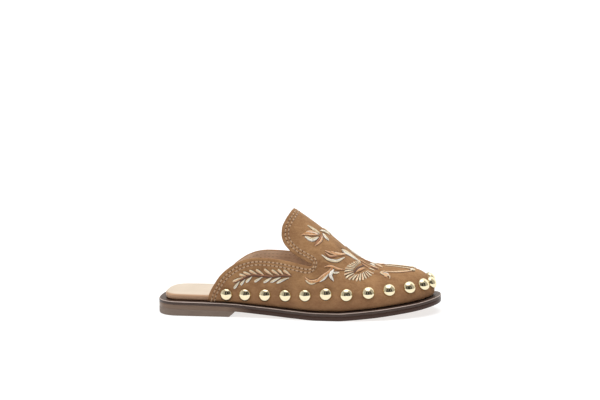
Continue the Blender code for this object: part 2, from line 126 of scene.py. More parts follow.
# The ends of the outline close over these shares of the length, each as a superellipse of this power
HEEL_END_SHARE = 0.09
HEEL_CORNER_POWER = 2.7
TOE_END_SHARE = 0.235
TOE_CORNER_POWER = 2.35
SWING_START_SHARE = 0.45

# Underside of the outsole: share of the length, the height that the row follows, and its share
UNDERSIDE = (
    (0.00, HEEL_HEIGHT, 1.00),
    (0.25, HEEL_HEIGHT, 0.85),
    (0.40, HEEL_HEIGHT, 0.45),
    (0.50, HEEL_HEIGHT, 0.17),
    (0.58, HEEL_HEIGHT, 0.00),
    (0.65, TOE_SPRING, 0.00),
    (0.70, TOE_SPRING, 0.08),
    (0.78, TOE_SPRING, 0.26),
    (0.86, TOE_SPRING, 0.48),
    (0.93, TOE_SPRING, 0.68),
    (1.00, TOE_SPRING, 1.00),
)

# Ridge of the last above the welt: share of the length, the height that the row follows, and its share
RIDGE = (
    (0.20, INSTEP_HEIGHT, 1.286),
    (0.30, INSTEP_HEIGHT, 1.230),
    (0.40, INSTEP_HEIGHT, 1.110),
    (0.475, INSTEP_HEIGHT, 1.000),
    (0.55, INSTEP_HEIGHT, 0.862),
    (0.62, INSTEP_HEIGHT, 0.702),
    (0.68, INSTEP_HEIGHT, 0.546),
    (0.72, INSTEP_HEIGHT, 0.450),
    (0.75, TOE_BOX_HEIGHT, 1.114),
    (0.78, TOE_BOX_HEIGHT, 1.044),
    (0.82, TOE_BOX_HEIGHT, 1.003),
    (0.86, TOE_BOX_HEIGHT, 0.928),
    (0.90, TOE_BOX_HEIGHT, 0.838),
    (1.00, TOE_BOX_HEIGHT, 0.510),
)

# Cross-sections: share of the length, superellipse power, and share of the side bulge
SECTIONS = (
    (0.20, 1.75, 0.40),
    (0.40, 1.85, 0.60),
    (0.47, 2.12, 0.75),
    (0.55, 2.22, 0.90),
    (0.65, 2.15, 1.00),
    (0.75, 2.15, 0.95),
    (0.90, 2.30, 0.80),
    (1.00, 2.30, 0.40),
)
# Ribs stand square to the length up to RIB_TURN_SHARE, then fan round the toe to the end of the ridge
RIB_TURN_SHARE = 0.66
RIDGE_END_SHARE = 0.875
TOE_TIP_SHARE = 1 - TOE_LEDGE / SOLE_LENGTH

# Topline from the welt up the quarter, into the notch and round the tongue tab to the ridge: share of the
# length, then the height as a share of QUARTER_HEIGHT plus a share of INSTEP_HEIGHT
TOPLINE = (
    (0.188, 0.000, 0.000),
    (0.198, 0.184, 0.000),
    (0.215, 0.368, 0.000),
    (0.240, 0.575, 0.000),
    (0.270, 0.732, 0.000),
    (0.300, 0.850, 0.000),
    (0.340, 0.948, 0.000),
    (0.380, 0.991, 0.000),
    (0.420, 1.000, 0.000),
    (0.460, 0.993, 0.000),
    (0.500, 0.968, 0.000),
    (0.540, 0.936, 0.000),
    (0.563, 0.925, 0.000),
    (0.565, 0.911, 0.015),
    (0.540, 0.842, 0.090),
    (0.503, 0.758, 0.181),
    (0.477, 0.660, 0.287),
    (0.459, 0.541, 0.415),
    (0.4535, 0.438, 0.526),
    (0.4545, 0.332, 0.641),
    (0.465, 0.195, 0.789),
    (0.486, 0.025, 0.973),
)

# Height of the stud centres: share of the length, and share of STUD_RISE above the lowest place
STUD_LINE = (
    (0.20, 0.00),
    (0.33, 0.22),
    (0.40, 0.40),
    (0.48, 0.63),
    (0.55, 0.85),
    (0.61, 0.98),
    (0.68, 0.92),
    (0.78, 0.82),
    (0.88, 0.74),
    (1.00, 0.56),
)
# Studs are set by hand and some stray: stud number, share of STUD_DIAMETER along, and share of STUD_RISE up
STRAY_STUDS = (
    (2, -0.10, 0.00),
    (3, -0.09, 0.00),
    (6, 0.05, 0.06),
    (7, 0.05, 0.00),
    (8, 0.16, 0.04),
    (9, 0.22, 0.10),
    (10, 0.33, 0.06),
    (11, 0.09, 0.08),
    (12, -0.50, 0.00),
    (13, -0.90, 0.12),
    (14, -0.55, 0.00),
    (15, -0.25, 0.00),
)

CREASE_STEPS = 24
# Creases: depth (a ridge is negative), width, and the places that the crease runs through
CREASES = (
    # From the tip of each side's notch down towards the ball of the foot
    (0.0006, 0.0045, (-0.470, 0.270), (-0.436, 0.225), (-0.392, 0.150)),
    (-0.0004, 0.0040, (-0.462, 0.185), (-0.425, 0.150), (-0.385, 0.100)),
    (0.0005, 0.0045, (0.480, 0.290), (0.440, 0.230), (0.400, 0.160)),
    (-0.0003, 0.0040, (0.470, 0.190), (0.430, 0.150), (0.395, 0.110)),
    # Where the toes bend
    (0.0004, 0.0060, (-0.300, 0.330), (-0.318, 0.560), (-0.335, 0.800)),
    (-0.0003, 0.0050, (-0.262, 0.300), (-0.270, 0.450), (-0.276, 0.600)),
    (0.0004, 0.0060, (0.290, 0.320), (0.310, 0.560), (0.330, 0.800)),
    (-0.0003, 0.0050, (0.255, 0.280), (0.262, 0.430), (0.270, 0.580)),
    # Soft ripples where the quarter leaves the sole, and up the tongue
    (0.0004, 0.0050, (-0.600, 0.060), (-0.570, 0.085), (-0.535, 0.070)),
    (0.0004, 0.0050, (0.610, 0.070), (0.575, 0.095), (0.540, 0.080)),
    (0.0004, 0.0070, (-0.440, 0.640), (-0.425, 0.740), (-0.415, 0.880)),
    (0.0004, 0.0070, (0.445, 0.650), (0.430, 0.750), (0.420, 0.880)),
)

# Fineness of the meshes
SOLE_POINTS = 420
SOLE_ACROSS = 24
HEEL_POINTS = 90
UPPER_STEP = 0.00135
FOOT_LINE_LENGTH = 0.42
# Climbs of the rows of points: a few near the welt, then even ones
UPPER_LOW_ROWS = (0.0045, 0.010, 0.017, 0.026)
UPPER_ROWS_START = 0.038
UPPER_ROWS = 74
TOPLINE_STEP = 0.0013
STUD_SIDES = 40
STUD_RINGS = 9
STITCH_STEPS = 7
PINHOLE_SIDES = 10
THREAD_SIDES = 5
STROKE_POINTS = 60

# The heel's taupe gives way to the dark sole edge between these places from the heel's back
HEEL_TONE_START = 0.068
HEEL_TONE_END = 0.092

# The upper's cut edge stands out by this, and its foot tucks in by this depth over this height
RIM_ROUND = 0.0007
TUCK_DEPTH = 0.0015
TUCK_HEIGHT = 0.0024

# Stitching along the topline: each row's distance from the edge, and its first stitch's share of the pitch
STITCH_ROWS = (
    (0.0037, 0.6),
    (0.0066, 0.85),
)
STITCH_LINE_STEP = 0.0012
# A row leaves out places that come nearer to the edge than this share of its distance, as inside a bend
ROW_SPACING_SHARE = 0.94
STITCH_PITCH = 0.0039
STITCH_LENGTH = 0.0023
STITCH_RADIUS = 0.00078
# A pinhole is a dark lens of painted shade: its middle lies this far above the suede and its rim this far
# below its middle
PINHOLE_RADIUS = 0.00085
PINHOLE_LIFT = 0.00010
PINHOLE_DOME = 0.00013
# The rows of stitches on the lining are thinner and of the lining's own tone
LINING_STITCH_RADIUS = 0.00030

# Embroidery thread
THREAD_COLOURS = {
    "cream": (0.90, 0.76, 0.53),
    "white": (0.96, 0.89, 0.79),
    "peach": (0.84, 0.53, 0.31),
    "orange": (0.70, 0.37, 0.165),
    "rust": (0.42, 0.19, 0.095),
    "brown": (0.13, 0.055, 0.035),
    # Painted shade for the edges of the strokes, not a thread of the embroidery
    "shade": (0.15, 0.068, 0.030),
}
THREADS = list(THREAD_COLOURS)
THREAD_PITCH = 0.00046
THREAD_RADIUS = 0.00030
THREAD_LIFT = 0.00010
SATIN_DOME = 0.00070
# Satin threads lean along their stroke by this angle
SATIN_SLANT = 0.7
# Painted shade: a dark tube along the edges of each satin stroke, where the stroke's shadow falls on the
# suede
EDGE_SHADE_POINTS = 14
EDGE_SHADE_SPREAD = 0.00020
EDGE_SHADE_LIFT = 0.00004
EDGE_SHADE_RADIUS = 0.00036

# Branch on the quarter: the places of its stem
BRANCH_STEM = (
    (-0.642, 0.134),
    (-0.623, 0.156),
    (-0.605, 0.185),
    (-0.573, 0.200),
    (-0.540, 0.200),
    (-0.506, 0.215),
)
STEM_WIDTH = 0.0017
# Leaves of the branch: the places of base and tip
LEAF_WIDTH = 0.0023
BRANCH_UPPER_LEAVES = (
    (-0.618, 0.171, -0.643, 0.139),
    (-0.610, 0.181, -0.627, 0.184),
    (-0.598, 0.194, -0.617, 0.200),
    (-0.584, 0.202, -0.603, 0.217),
    (-0.569, 0.206, -0.587, 0.230),
    (-0.549, 0.208, -0.568, 0.243),
    (-0.534, 0.207, -0.551, 0.240),
    (-0.524, 0.207, -0.537, 0.243),
    (-0.508, 0.217, -0.524, 0.241),
)
BRANCH_LOWER_LEAVES = (
    (-0.627, 0.145, -0.641, 0.099),
    (-0.614, 0.161, -0.624, 0.125),
    (-0.597, 0.184, -0.611, 0.145),
    (-0.572, 0.194, -0.591, 0.156),
    (-0.550, 0.196, -0.570, 0.160),
    (-0.531, 0.193, -0.554, 0.164),
    (-0.512, 0.197, -0.540, 0.156),
)

# Strokes widest in the middle: how far that place leans to the tip or the base, and how full they are
STROKE_SHAPES = {
    "leaf": (0.85, 0.75),
    "petal": (1.5, 0.6),
    "drop": (0.45, 0.8),
}

# Satin strokes: thread colours of the two halves, width, shape, and the places that the stroke runs through
STROKES = (
    # Flower on the tongue
    ("cream", "cream", 0.0032, "leaf", (-0.449, 0.794), (-0.464, 0.790), (-0.476, 0.784)),
    ("white", "peach", 0.0032, "leaf", (-0.450, 0.767), (-0.464, 0.728), (-0.477, 0.672)),
    ("peach", "orange", 0.0036, "leaf", (-0.452, 0.745), (-0.472, 0.665), (-0.486, 0.600)),
    ("white", "cream", 0.0038, "leaf", (-0.450, 0.715), (-0.463, 0.622), (-0.479, 0.600)),
    ("peach", "rust", 0.0038, "leaf", (-0.444, 0.806), (-0.446, 0.692), (-0.456, 0.571)),
    ("white", "cream", 0.0038, "leaf", (-0.449, 0.866), (-0.437, 0.948), (-0.429, 0.961)),
    ("cream", "white", 0.0036, "leaf", (-0.443, 0.850), (-0.434, 0.805), (-0.428, 0.800)),
    # Frond and crescent
    ("white", "cream", 0.0026, "leaf", (-0.440, 0.512), (-0.424, 0.508), (-0.407, 0.554), (-0.389, 0.705)),
    ("peach", "rust", 0.0022, "leaf", (-0.433, 0.567), (-0.423, 0.558), (-0.406, 0.633)),
    ("orange", "peach", 0.0020, "leaf", (-0.433, 0.594), (-0.421, 0.613), (-0.404, 0.656)),
    ("peach", "orange", 0.0024, "leaf", (-0.421, 0.636), (-0.406, 0.666), (-0.387, 0.803)),
    ("peach", "cream", 0.0020, "leaf", (-0.412, 0.672), (-0.400, 0.712), (-0.387, 0.803)),
    ("cream", "white", 0.0074, "drop", (-0.399, 0.818), (-0.382, 0.858), (-0.352, 0.862)),
    # Scroll frond
    (
        "peach", "orange", 0.0032, "leaf", (-0.476, 0.232), (-0.465, 0.216),
        (-0.448, 0.243), (-0.433, 0.312), (-0.421, 0.387), (-0.417, 0.436),
    ),
    ("cream", "cream", 0.0014, "line", (-0.474, 0.211), (-0.463, 0.198), (-0.451, 0.221)),
    ("cream", "white", 0.0024, "leaf", (-0.443, 0.240), (-0.433, 0.284), (-0.423, 0.354)),
    ("white", "white", 0.0034, "leaf", (-0.411, 0.430), (-0.418, 0.348), (-0.411, 0.303)),
    ("white", "cream", 0.0018, "leaf", (-0.416, 0.380), (-0.406, 0.405), (-0.399, 0.432)),
    ("peach", "orange", 0.0022, "leaf", (-0.433, 0.397), (-0.419, 0.446), (-0.401, 0.469), (-0.387, 0.505)),
    ("orange", "rust", 0.0018, "line", (-0.417, 0.442), (-0.415, 0.390)),
    # Heart of the half daisy
    ("peach", "orange", 0.0026, "leaf", (-0.357, 0.571), (-0.347, 0.656), (-0.336, 0.741)),
    ("brown", "brown", 0.0010, "leaf", (-0.363, 0.541), (-0.354, 0.669), (-0.340, 0.794)),
    # Petals along the ridge
    ("peach", "orange", 0.0016, "leaf", (-0.359, 0.905), (-0.344, 0.917), (-0.330, 0.905)),
    ("cream", "peach", 0.0016, "leaf", (-0.328, 0.905), (-0.312, 0.880), (-0.292, 0.830)),
    ("peach", "rust", 0.0014, "leaf", (-0.347, 0.835), (-0.336, 0.815), (-0.326, 0.790)),
    ("cream", "cream", 0.0014, "leaf", (-0.324, 0.785), (-0.316, 0.765), (-0.306, 0.745)),
    ("cream", "white", 0.0026, "leaf", (-0.322, 0.985), (-0.312, 0.960), (-0.303, 0.925)),
    ("cream", "peach", 0.0024, "leaf", (-0.303, 0.985), (-0.288, 0.950), (-0.276, 0.880)),
    ("rust", "brown", 0.0016, "leaf", (-0.318, 0.850), (-0.302, 0.812), (-0.294, 0.780)),
    # Toe tendril and its curl
    ("cream", "peach", 0.0018, "leaf", (-0.278, 0.718), (-0.228, 0.685), (-0.179, 0.705), (-0.098, 0.754)),
    ("cream", "cream", 0.0014, "line", (-0.261, 0.948), (-0.203, 0.944), (-0.123, 0.879), (-0.080, 0.800)),
    ("white", "cream", 0.0046, "leaf", (-0.136, 0.740), (-0.108, 0.768), (-0.078, 0.790)),
    (
        "peach", "cream", 0.0024, "leaf", (-0.270, 0.735), (-0.283, 0.685),
        (-0.271, 0.617), (-0.257, 0.590), (-0.257, 0.525),
    ),
    ("white", "peach", 0.0022, "leaf", (-0.280, 0.672), (-0.267, 0.653), (-0.258, 0.610)),
    ("peach", "orange", 0.0018, "leaf", (-0.275, 0.594), (-0.266, 0.554)),
)

# Half daisy: the lines that the inner and outer ends of its petals follow
DAISY_INNER = (
    (-0.350, 0.813),
    (-0.359, 0.669),
    (-0.365, 0.567),
    (-0.363, 0.518),
    (-0.351, 0.544),
    (-0.340, 0.620),
    (-0.329, 0.702),
)
DAISY_OUTER = (
    (-0.353, 0.879),
    (-0.370, 0.695),
    (-0.382, 0.574),
    (-0.386, 0.495),
    (-0.386, 0.443),
    (-0.381, 0.397),
    (-0.367, 0.413),
    (-0.352, 0.426),
    (-0.340, 0.469),
    (-0.328, 0.531),
    (-0.316, 0.603),
    (-0.311, 0.649),
)
DAISY_PETALS = 20
DAISY_PETAL_WIDTH = 0.0018


def between(step, part, start, end, start_slope, end_slope):
    """The place at a part of a step on the smooth curve with these ends and slopes."""
    rest = 1 - part
    first = (1 + 2 * part) * rest**2 * start + part * rest**2 * step * start_slope
    return first + (part**2 * (3 - 2 * part) * end - part**2 * rest * step * end_slope)


def curve_through(shares, values, at):
    """A smooth curve through a table's rows that never overshoots them."""
    shares = np.asarray(shares, float)
    values = np.asarray(values, float)
    step = np.diff(shares)
    rise = np.diff(values) / step
    slope = np.zeros(len(shares))
    slope[0] = rise[0]
    slope[-1] = rise[-1]
    for row in range(1, len(step)):
        before, after = rise[row - 1], rise[row]
        if before * after > 0:
            near = 2 * step[row] + step[row - 1]
            far = step[row] + 2 * step[row - 1]
            slope[row] = (near + far) / (near / before + far / after)
    at = np.clip(np.asarray(at, float), shares[0], shares[-1])
    row = np.clip(np.searchsorted(shares, at) - 1, 0, len(step) - 1)
    part = (at - shares[row]) / step[row]
    return between(step[row], part, values[row], values[row + 1], slope[row], slope[row + 1])


def of_size(table, at):
    """Curve through rows of share, named size and share of that size."""
    share, size, part = np.transpose(table)
    return curve_through(share, size * part, at)


def travelled(line):
    """How far along a line each of its points is."""
    return np.cumsum(np.linalg.norm(np.diff(line, axis=0, prepend=line[:1]), axis=1))


def places_at(distance, travel, turn, climb):
    """Turns and climbs this far along a line."""
    return np.interp(distance, travel, turn), np.interp(distance, travel, climb)


def around(sides):
    """Even angles round a circle."""
    return np.arange(sides) * 2 * math.pi / sides


def smooth_step(value):
    """0 below zero and 1 above one, with an easy slope between."""
    value = np.clip(value, 0, 1)
    return value * value * (3 - 2 * value)


def outline(turn):
    """Points of the sole outline (x from the heel's back, y) at the turns."""
    turn = (np.asarray(turn, float) + 1) % 2 - 1
    share = (1 - np.cos(math.pi * (1 - np.abs(turn)))) / 2
    side = np.where(turn < 0, -1.0, 1.0)
    rows, size, outer_part, inner_part = np.transpose(OUTLINE)
    outer = curve_through(rows, size * outer_part, share)
    inner = curve_through(rows, size * inner_part, share)
    into_heel = np.clip((HEEL_END_SHARE - share) / HEEL_END_SHARE, 0, 1)
    into_toe = np.clip((share - 1 + TOE_END_SHARE) / TOE_END_SHARE, 0, 1)
    closing = (1 - into_heel**HEEL_CORNER_POWER) ** (1 / HEEL_CORNER_POWER)
    closing *= (1 - into_toe**TOE_CORNER_POWER) ** (1 / TOE_CORNER_POWER)
    across = centre_line(share) + side * np.where(side < 0, outer, inner) * closing
    return np.stack([share * SOLE_LENGTH, across], axis=-1)


def centre_line(share):
    """The line that the right foot's widths are measured from swings inwards to the toe."""
    return TOE_SWING * smooth_step((share - SWING_START_SHARE) / (1 - SWING_START_SHARE))


def inset_outline(turn, inset):
    """The outline moved inwards by the inset."""
    turn = np.asarray(turn, float)
    nudge = 0.004
    along = outline(turn + nudge) - outline(turn - nudge)
    along /= np.linalg.norm(along, axis=-1, keepdims=True)
    inwards = np.stack([-along[..., 1], along[..., 0]], axis=-1)
    return outline(turn) + inwards * np.reshape(inset, np.shape(inset) + (1,) * (np.ndim(inset) > 0))


def ledge(turn):
    """Width of welt that shows outside the upper."""
    share = outline(turn)[..., 0] / SOLE_LENGTH
    part = (share - LEDGE_START_SHARE) / (LEDGE_END_SHARE - LEDGE_START_SHARE)
    return HEEL_LEDGE + (TOE_LEDGE - HEEL_LEDGE) * smooth_step(part)


def underside(x):
    return of_size(UNDERSIDE, np.asarray(x) / SOLE_LENGTH)


def welt_top(x):
    return underside(x) + OUTSOLE_THICKNESS + WELT_THICKNESS


def ridge_share(share):
    """Where on the ridge the rib from this share of the feather line ends."""
    part = np.clip((share - RIB_TURN_SHARE) / (TOE_TIP_SHARE - RIB_TURN_SHARE), 0, 1)
    pace = (TOE_TIP_SHARE - RIB_TURN_SHARE) / (RIDGE_END_SHARE - RIB_TURN_SHARE)
    turned = RIB_TURN_SHARE + (RIDGE_END_SHARE - RIB_TURN_SHARE) * (pace * part - (pace - 1) * part**2)
    return np.where(share < RIB_TURN_SHARE, share, turned)


def rib(turn):
    """Foot and head of the ribs at the turns, with each section's power and bulge."""
    foot = inset_outline(turn, ledge(turn))
    share = foot[:, 0] / SOLE_LENGTH
    head_share = ridge_share(share)
    head_x = head_share * SOLE_LENGTH
    head_z = welt_top(head_x) + of_size(RIDGE, head_share)
    head = np.stack([head_x, centre_line(head_share), head_z], axis=-1)
    foot = np.column_stack([foot, welt_top(foot[:, 0]) + CLEARANCE])
    rows, powers, bulges = np.transpose(SECTIONS)
    power = curve_through(rows, powers, share)
    bulge = SIDE_BULGE * curve_through(rows, bulges, share)
    return foot, head, power, bulge


def plain_point(turn, climb):
    """Points on the uncreased outside of the upper, and the level way out from its ridge."""
    turn = np.atleast_1d(np.asarray(turn, float))
    climb = np.atleast_1d(np.asarray(climb, float))
    turn = np.where(climb > 1, -turn, turn)
    climb = np.where(climb > 1, 2 - climb, climb)
    foot, head, power, bulge = rib(turn)
    angle = climb * math.pi / 2
    inwards = 1 - np.cos(angle).clip(0) ** (2 / power)
    upwards = np.sin(angle).clip(0) ** (2 / power)
    reach = head - foot
    flat = reach[:, :2] / np.linalg.norm(reach[:, :2], axis=1, keepdims=True)
    # 6.75 brings the highest value of what follows to one
    swell = bulge * 6.75 * upwards * (1 - upwards) ** 2
    point = foot.copy()
    point[:, :2] += reach[:, :2] * inwards[:, None] - flat * swell[:, None]
    point[:, 2] += reach[:, 2] * upwards
    out = np.column_stack([-flat * np.cos(angle)[:, None], np.sin(angle)])
    return point, out


def crease_lines():
    """Each crease as a run of short steps over the plain upper."""
    made = []
    for depth, width, *places in CREASES:
        turns, climbs = np.transpose(places)
        rows = np.arange(len(places))
        at = np.linspace(0, rows[-1], CREASE_STEPS)
        line, _ = plain_point(curve_through(rows, turns, at), curve_through(rows, climbs, at))
        fade = np.sin(math.pi * (np.arange(CREASE_STEPS) + 0.7) / (CREASE_STEPS + 0.4))
        made.append((depth * fade, width, line))
    return made


def upper_point(turn, climb):
    """Points on the outside of the upper. A climb over 1 goes down the other side of the ridge."""
    point, out = plain_point(turn, climb)
    sunk = np.zeros(len(point))
    for depth, width, line in CREASE_LINES:
        apart = np.sum((point[:, None] - line) ** 2, axis=2)
        near = apart.argmin(axis=1)
        sunk += depth[near] * np.exp(-apart[np.arange(len(point)), near] / (0.6 * width) ** 2)
    return point - out * sunk[:, None]


CREASE_LINES = crease_lines()


def slopes(turn, climb):
    """How fast a point on the upper moves with its turn and with its climb."""
    nudge = 0.002
    low = np.maximum(climb - nudge, 0)
    high = np.where(climb <= 1, np.minimum(climb + nudge, 1), climb + nudge)
    by_turn = (upper_point(turn + nudge, climb) - upper_point(turn - nudge, climb)) / (2 * nudge)
    by_climb = (upper_point(turn, high) - upper_point(turn, low)) / (high - low)[:, None]
    return by_turn, by_climb


def unit(vectors):
    return vectors / np.linalg.norm(vectors, axis=-1, keepdims=True)


def upper_normal(turn, climb):
    """Outward normals of the upper."""
    by_turn, by_climb = slopes(np.asarray(turn, float), np.asarray(climb, float))
    return unit(np.cross(by_turn, by_climb))


def step_over(turn, climb, move):
    """The places reached from these places by small moves over the surface."""
    by_turn, by_climb = slopes(turn, climb)
    first = np.sum(by_turn**2, axis=1)
    both = np.sum(by_turn * by_climb, axis=1)
    second = np.sum(by_climb**2, axis=1)
    along = np.sum(by_turn * move, axis=1)
    up = np.sum(by_climb * move, axis=1)
    size = first * second - both**2
    return turn + (second * along - both * up) / size, climb + (first * up - both * along) / size


def spread(turn, climb):
    """Where a place on the upper lies on the flat pattern that the mesh is drawn on."""
    foot, head, _, _ = rib(turn)
    return foot[:, :2] + (head - foot)[:, :2] * np.asarray(climb)[:, None]


def climb_at(turn, height):
    """The climb whose height above the welt is this."""
    foot, head, power, _ = rib(turn)
    part = np.clip(height / (head - foot)[:, 2], 0, 1)
    return np.arcsin(part ** (power / 2)) * 2 / math.pi


def turn_at(share, side):
    """The turn whose rib stands at this share of the length, on the outer (-1) or inner (1) side."""
    turns = np.linspace(0.999, 0.2, 400)
    feet = inset_outline(side * turns, ledge(side * turns))[:, 0] / SOLE_LENGTH
    return side * np.interp(share, feet, turns)


def topline(side, step):
    """Turns and climbs of the topline on one side, from the welt to the ridge, in even steps."""
    share, of_quarter, of_instep = np.transpose(TOPLINE)
    height = of_quarter * QUARTER_HEIGHT + of_instep * INSTEP_HEIGHT
    if side > 0:
        height = height - INNER_QUARTER_DROP * smooth_step(of_quarter)
        share = share + INNER_QUARTER_STEP / SOLE_LENGTH * smooth_step((0.45 - share) / 0.2)
    travel = np.cumsum(np.hypot(np.diff(share, prepend=share[0]) * SOLE_LENGTH, np.diff(height, prepend=0)))
    count = round(travel[-1] / step)
    at = np.linspace(0, travel[-1], count + 1)
    turn = turn_at(curve_through(travel, share, at), side)
    climb = climb_at(turn, curve_through(travel, height, at))
    climb[0] = 0
    climb[-1] = 1
    return turn, climb


def inside(points, border):
    """Which flat points lie inside the border."""
    x, y = points[:, :1], points[:, 1:]
    start, end = border, np.roll(border, -1, axis=0)
    spans = (start[:, 1] > y) != (end[:, 1] > y)
    slant = np.where(end[:, 1] == start[:, 1], 1, end[:, 1] - start[:, 1])
    crossing = start[:, 0] + (y - start[:, 1]) * (end[:, 0] - start[:, 0]) / slant
    return np.sum(spans & (x < crossing), axis=1) % 2 == 1


def nearest(points, others):
    """Distance from each point to the nearest of the others."""
    tree = KDTree(len(others))
    for index, other in enumerate(others):
        tree.insert(other, index)
    tree.balance()
    return np.array([tree.find(point)[2] for point in points])


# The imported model

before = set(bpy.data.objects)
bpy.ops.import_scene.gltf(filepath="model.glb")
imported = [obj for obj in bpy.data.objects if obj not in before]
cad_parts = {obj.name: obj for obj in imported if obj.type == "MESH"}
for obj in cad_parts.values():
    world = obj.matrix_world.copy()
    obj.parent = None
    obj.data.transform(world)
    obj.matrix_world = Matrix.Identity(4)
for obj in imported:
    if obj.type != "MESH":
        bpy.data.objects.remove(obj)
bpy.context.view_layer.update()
outsole_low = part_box("outsole")[0]
OFFSET = np.array([outsole_low[0], outsole_low[1] - outline(np.linspace(-1, 1, 101))[:, 1].min(), 0])


def piece(name, points, faces, finishes, node=None, slot=None, marks=None, smooth=True):
    """A piece of the shoe from points measured from the heel's back, riding on the one body."""
    mesh = bpy.data.meshes.new(name)
    points = np.asarray(points, float) + OFFSET
    mesh.from_pydata(points.tolist(), [], [tuple(map(int, face)) for face in faces])
    for finish in finishes:
        mesh.materials.append(finish)
    if marks is not None:
        mesh.polygons.foreach_set("material_index", np.asarray(marks, np.int32))
    mesh.polygons.foreach_set("use_smooth", np.full(len(mesh.polygons), smooth))
    mesh.update()
    made = bpy.data.objects.new(name, mesh)
    bpy.context.scene.collection.objects.link(made)
    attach(made, "root")
    if node:
        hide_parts(node)
    return made


# Materials

BLACK = (0, 0, 0)
WHITE = (1, 1, 1)
NOISE_ROUGHNESS = 0.55


class Finish:
    """A Principled material whose extra nodes are added one at a time."""

    def __init__(self, name, colour, roughness, metallic=0.0):
        self.made = bpy.data.materials.new(name)
        self.made.use_nodes = True
        self.nodes = self.made.node_tree.nodes
        self.shader = self.nodes["Principled BSDF"]
        self.set(base_color=colour, roughness=roughness, metallic=metallic)
        self.place = self.nodes.new("ShaderNodeTexCoord").outputs["Object"]

    def give(self, socket, value):
        """Sets a socket, or links it where the value comes from another node."""
        if isinstance(value, bpy.types.NodeSocket):
            self.made.node_tree.links.new(value, socket)
        else:
            socket.default_value = (*value, 1) if socket.type == "RGBA" else value

    def feed(self, node, **values):
        """Gives a node's inputs their values by name."""
        for name, value in values.items():
            self.give(node.inputs[name.replace("_", " ").title().replace("Ior", "IOR")], value)

    def set(self, **values):
        """Inputs of the Principled shader."""
        self.feed(self.shader, **values)

    def node(self, kind, output, **values):
        """An output of a new node with these inputs."""
        made = self.nodes.new(f"ShaderNode{kind}")
        self.feed(made, **values)
        return made.outputs[output]

    def noise(self, size, detail=3.0, stretch=None):
        """Noise whose features are about this size."""
        place = self.place
        if stretch:
            place = self.node("Mapping", "Vector", vector=place, scale=stretch)
        values = {"vector": place, "scale": 1 / size, "detail": detail, "roughness": NOISE_ROUGHNESS}
        return self.node("TexNoise", "Fac", **values)

    def cells(self, size):
        """Distance from the middle of leather-grain cells of about this size."""
        distance = self.node("TexVoronoi", "Distance", vector=self.place, scale=1 / size)
        distance.node.feature = "SMOOTH_F1"
        return distance

    def ramp(self, value, *stops):
        """Colour from rows of position and colour."""
        colour = self.node("ValToRGB", "Color", fac=value)
        points = colour.node.color_ramp.elements
        while len(points) < len(stops):
            points.new(0.5)
        for point, (position, shade) in zip(points, stops):
            point.position = position
            point.color = (*shade, 1)
        return colour

    def tone(self, value, dark, light, low=0.3):
        """From a dark to a light colour, evenly about the middle of a value."""
        return self.ramp(value, (low, dark), (1 - low, light))

    def mask(self, value, start, end):
        """Black up to the start, white from the end."""
        return self.ramp(value, (start, BLACK), (end, WHITE))

    def mix(self, share, first, second):
        """The first colour with this share of the second."""
        made = self.nodes.new("ShaderNodeMix")
        made.data_type = "RGBA"
        for value, socket in ((share, made.inputs[0]), (first, made.inputs[6]), (second, made.inputs[7])):
            self.give(socket, value)
        return made.outputs[2]

    def math(self, operation, first, second):
        made = self.nodes.new("ShaderNodeMath")
        made.operation = operation
        self.give(made.inputs[0], first)
        self.give(made.inputs[1], second)
        return made.outputs[0]

    def axis(self, vector, name):
        """One axis of a vector."""
        return self.node("SeparateXYZ", name, vector=vector)

    def upward(self):
        """The upward share of the surface's own normal."""
        return self.axis(self.node("NewGeometry", "Normal"), "Z")

    def rough(self, value, low, high):
        """Roughness from low to high along a value."""
        self.set(roughness=self.node("MapRange", "Result", value=value, to_min=low, to_max=high))

    def bump(self, *layers):
        """Bump from rows of value, depth in metres and strength."""
        below = {}
        for value, depth, strength in layers:
            values = {"height": value, "distance": depth, "strength": strength, **below}
            below["normal"] = self.node("Bump", "Normal", **values)
        self.set(**below)


def suede_finish():
    """Tan suede: a short nap brushed in soft patches, with painted shade making it redder and darker down
    by the sole.
    """
    made = Finish("suede", (0.33, 0.17, 0.08), 0.92)
    patches = made.noise(0.030, 2.0)
    brushed = made.noise(0.011, 3.0, (0.6, 1.0, 1.0))
    streaks = made.noise(0.004, 4.0, (0.45, 1.0, 1.0))
    fleck = made.noise(0.0015, 3.0, (0.6, 1.0, 1.0))
    nap = made.noise(0.0006, 3.0, (0.6, 1.0, 1.0))
    nap_and_edge_highlight = made.tone(patches, (0.220, 0.104, 0.045), (0.465, 0.252, 0.113), 0.42)
    for share, value, dark, light, low in (
        (0.55, brushed, (0.22, 0.098, 0.042), (0.48, 0.264, 0.118), 0.42),
        (0.30, streaks, (0.21, 0.102, 0.044), (0.45, 0.256, 0.122), 0.38),
        (0.20, fleck, (0.19, 0.092, 0.040), (0.48, 0.280, 0.138), 0.38),
        (0.22, nap, (0.17, 0.082, 0.034), (0.50, 0.300, 0.155), 0.3),
    ):
        nap_and_edge_highlight = made.mix(share, nap_and_edge_highlight, made.tone(value, dark, light, low))
    # Painted shade: low on the upper the suede is mixed towards a darker, redder brown, as if less light
    # reached it there
    height = made.math("MULTIPLY", made.axis(made.place, "Z"), 20.0)
    low = made.ramp(height, (0.28, (0.34, 0.34, 0.34)), (0.75, BLACK))
    made.set(base_color=made.mix(low, nap_and_edge_highlight, (0.27, 0.128, 0.073)))
    made.bump((nap, 0.0004, 0.35), (fleck, 0.0005, 0.15), (streaks, 0.0006, 0.12))
    made.set(sheen_weight=0.18, sheen_roughness=0.45, sheen_tint=(0.95, 0.74, 0.50))
    made.set(specular_ior_level=0.15)
    return made.made


def lining_finish():
    made = Finish("lining", (0.30, 0.17, 0.095), 0.75)
    brushed = made.noise(0.012, 3.0)
    nap = made.noise(0.0007, 2.0)
    made.set(base_color=made.tone(brushed, (0.60, 0.41, 0.285), (0.76, 0.55, 0.40)))
    made.bump((nap, 0.0003, 0.25))
    return made.made


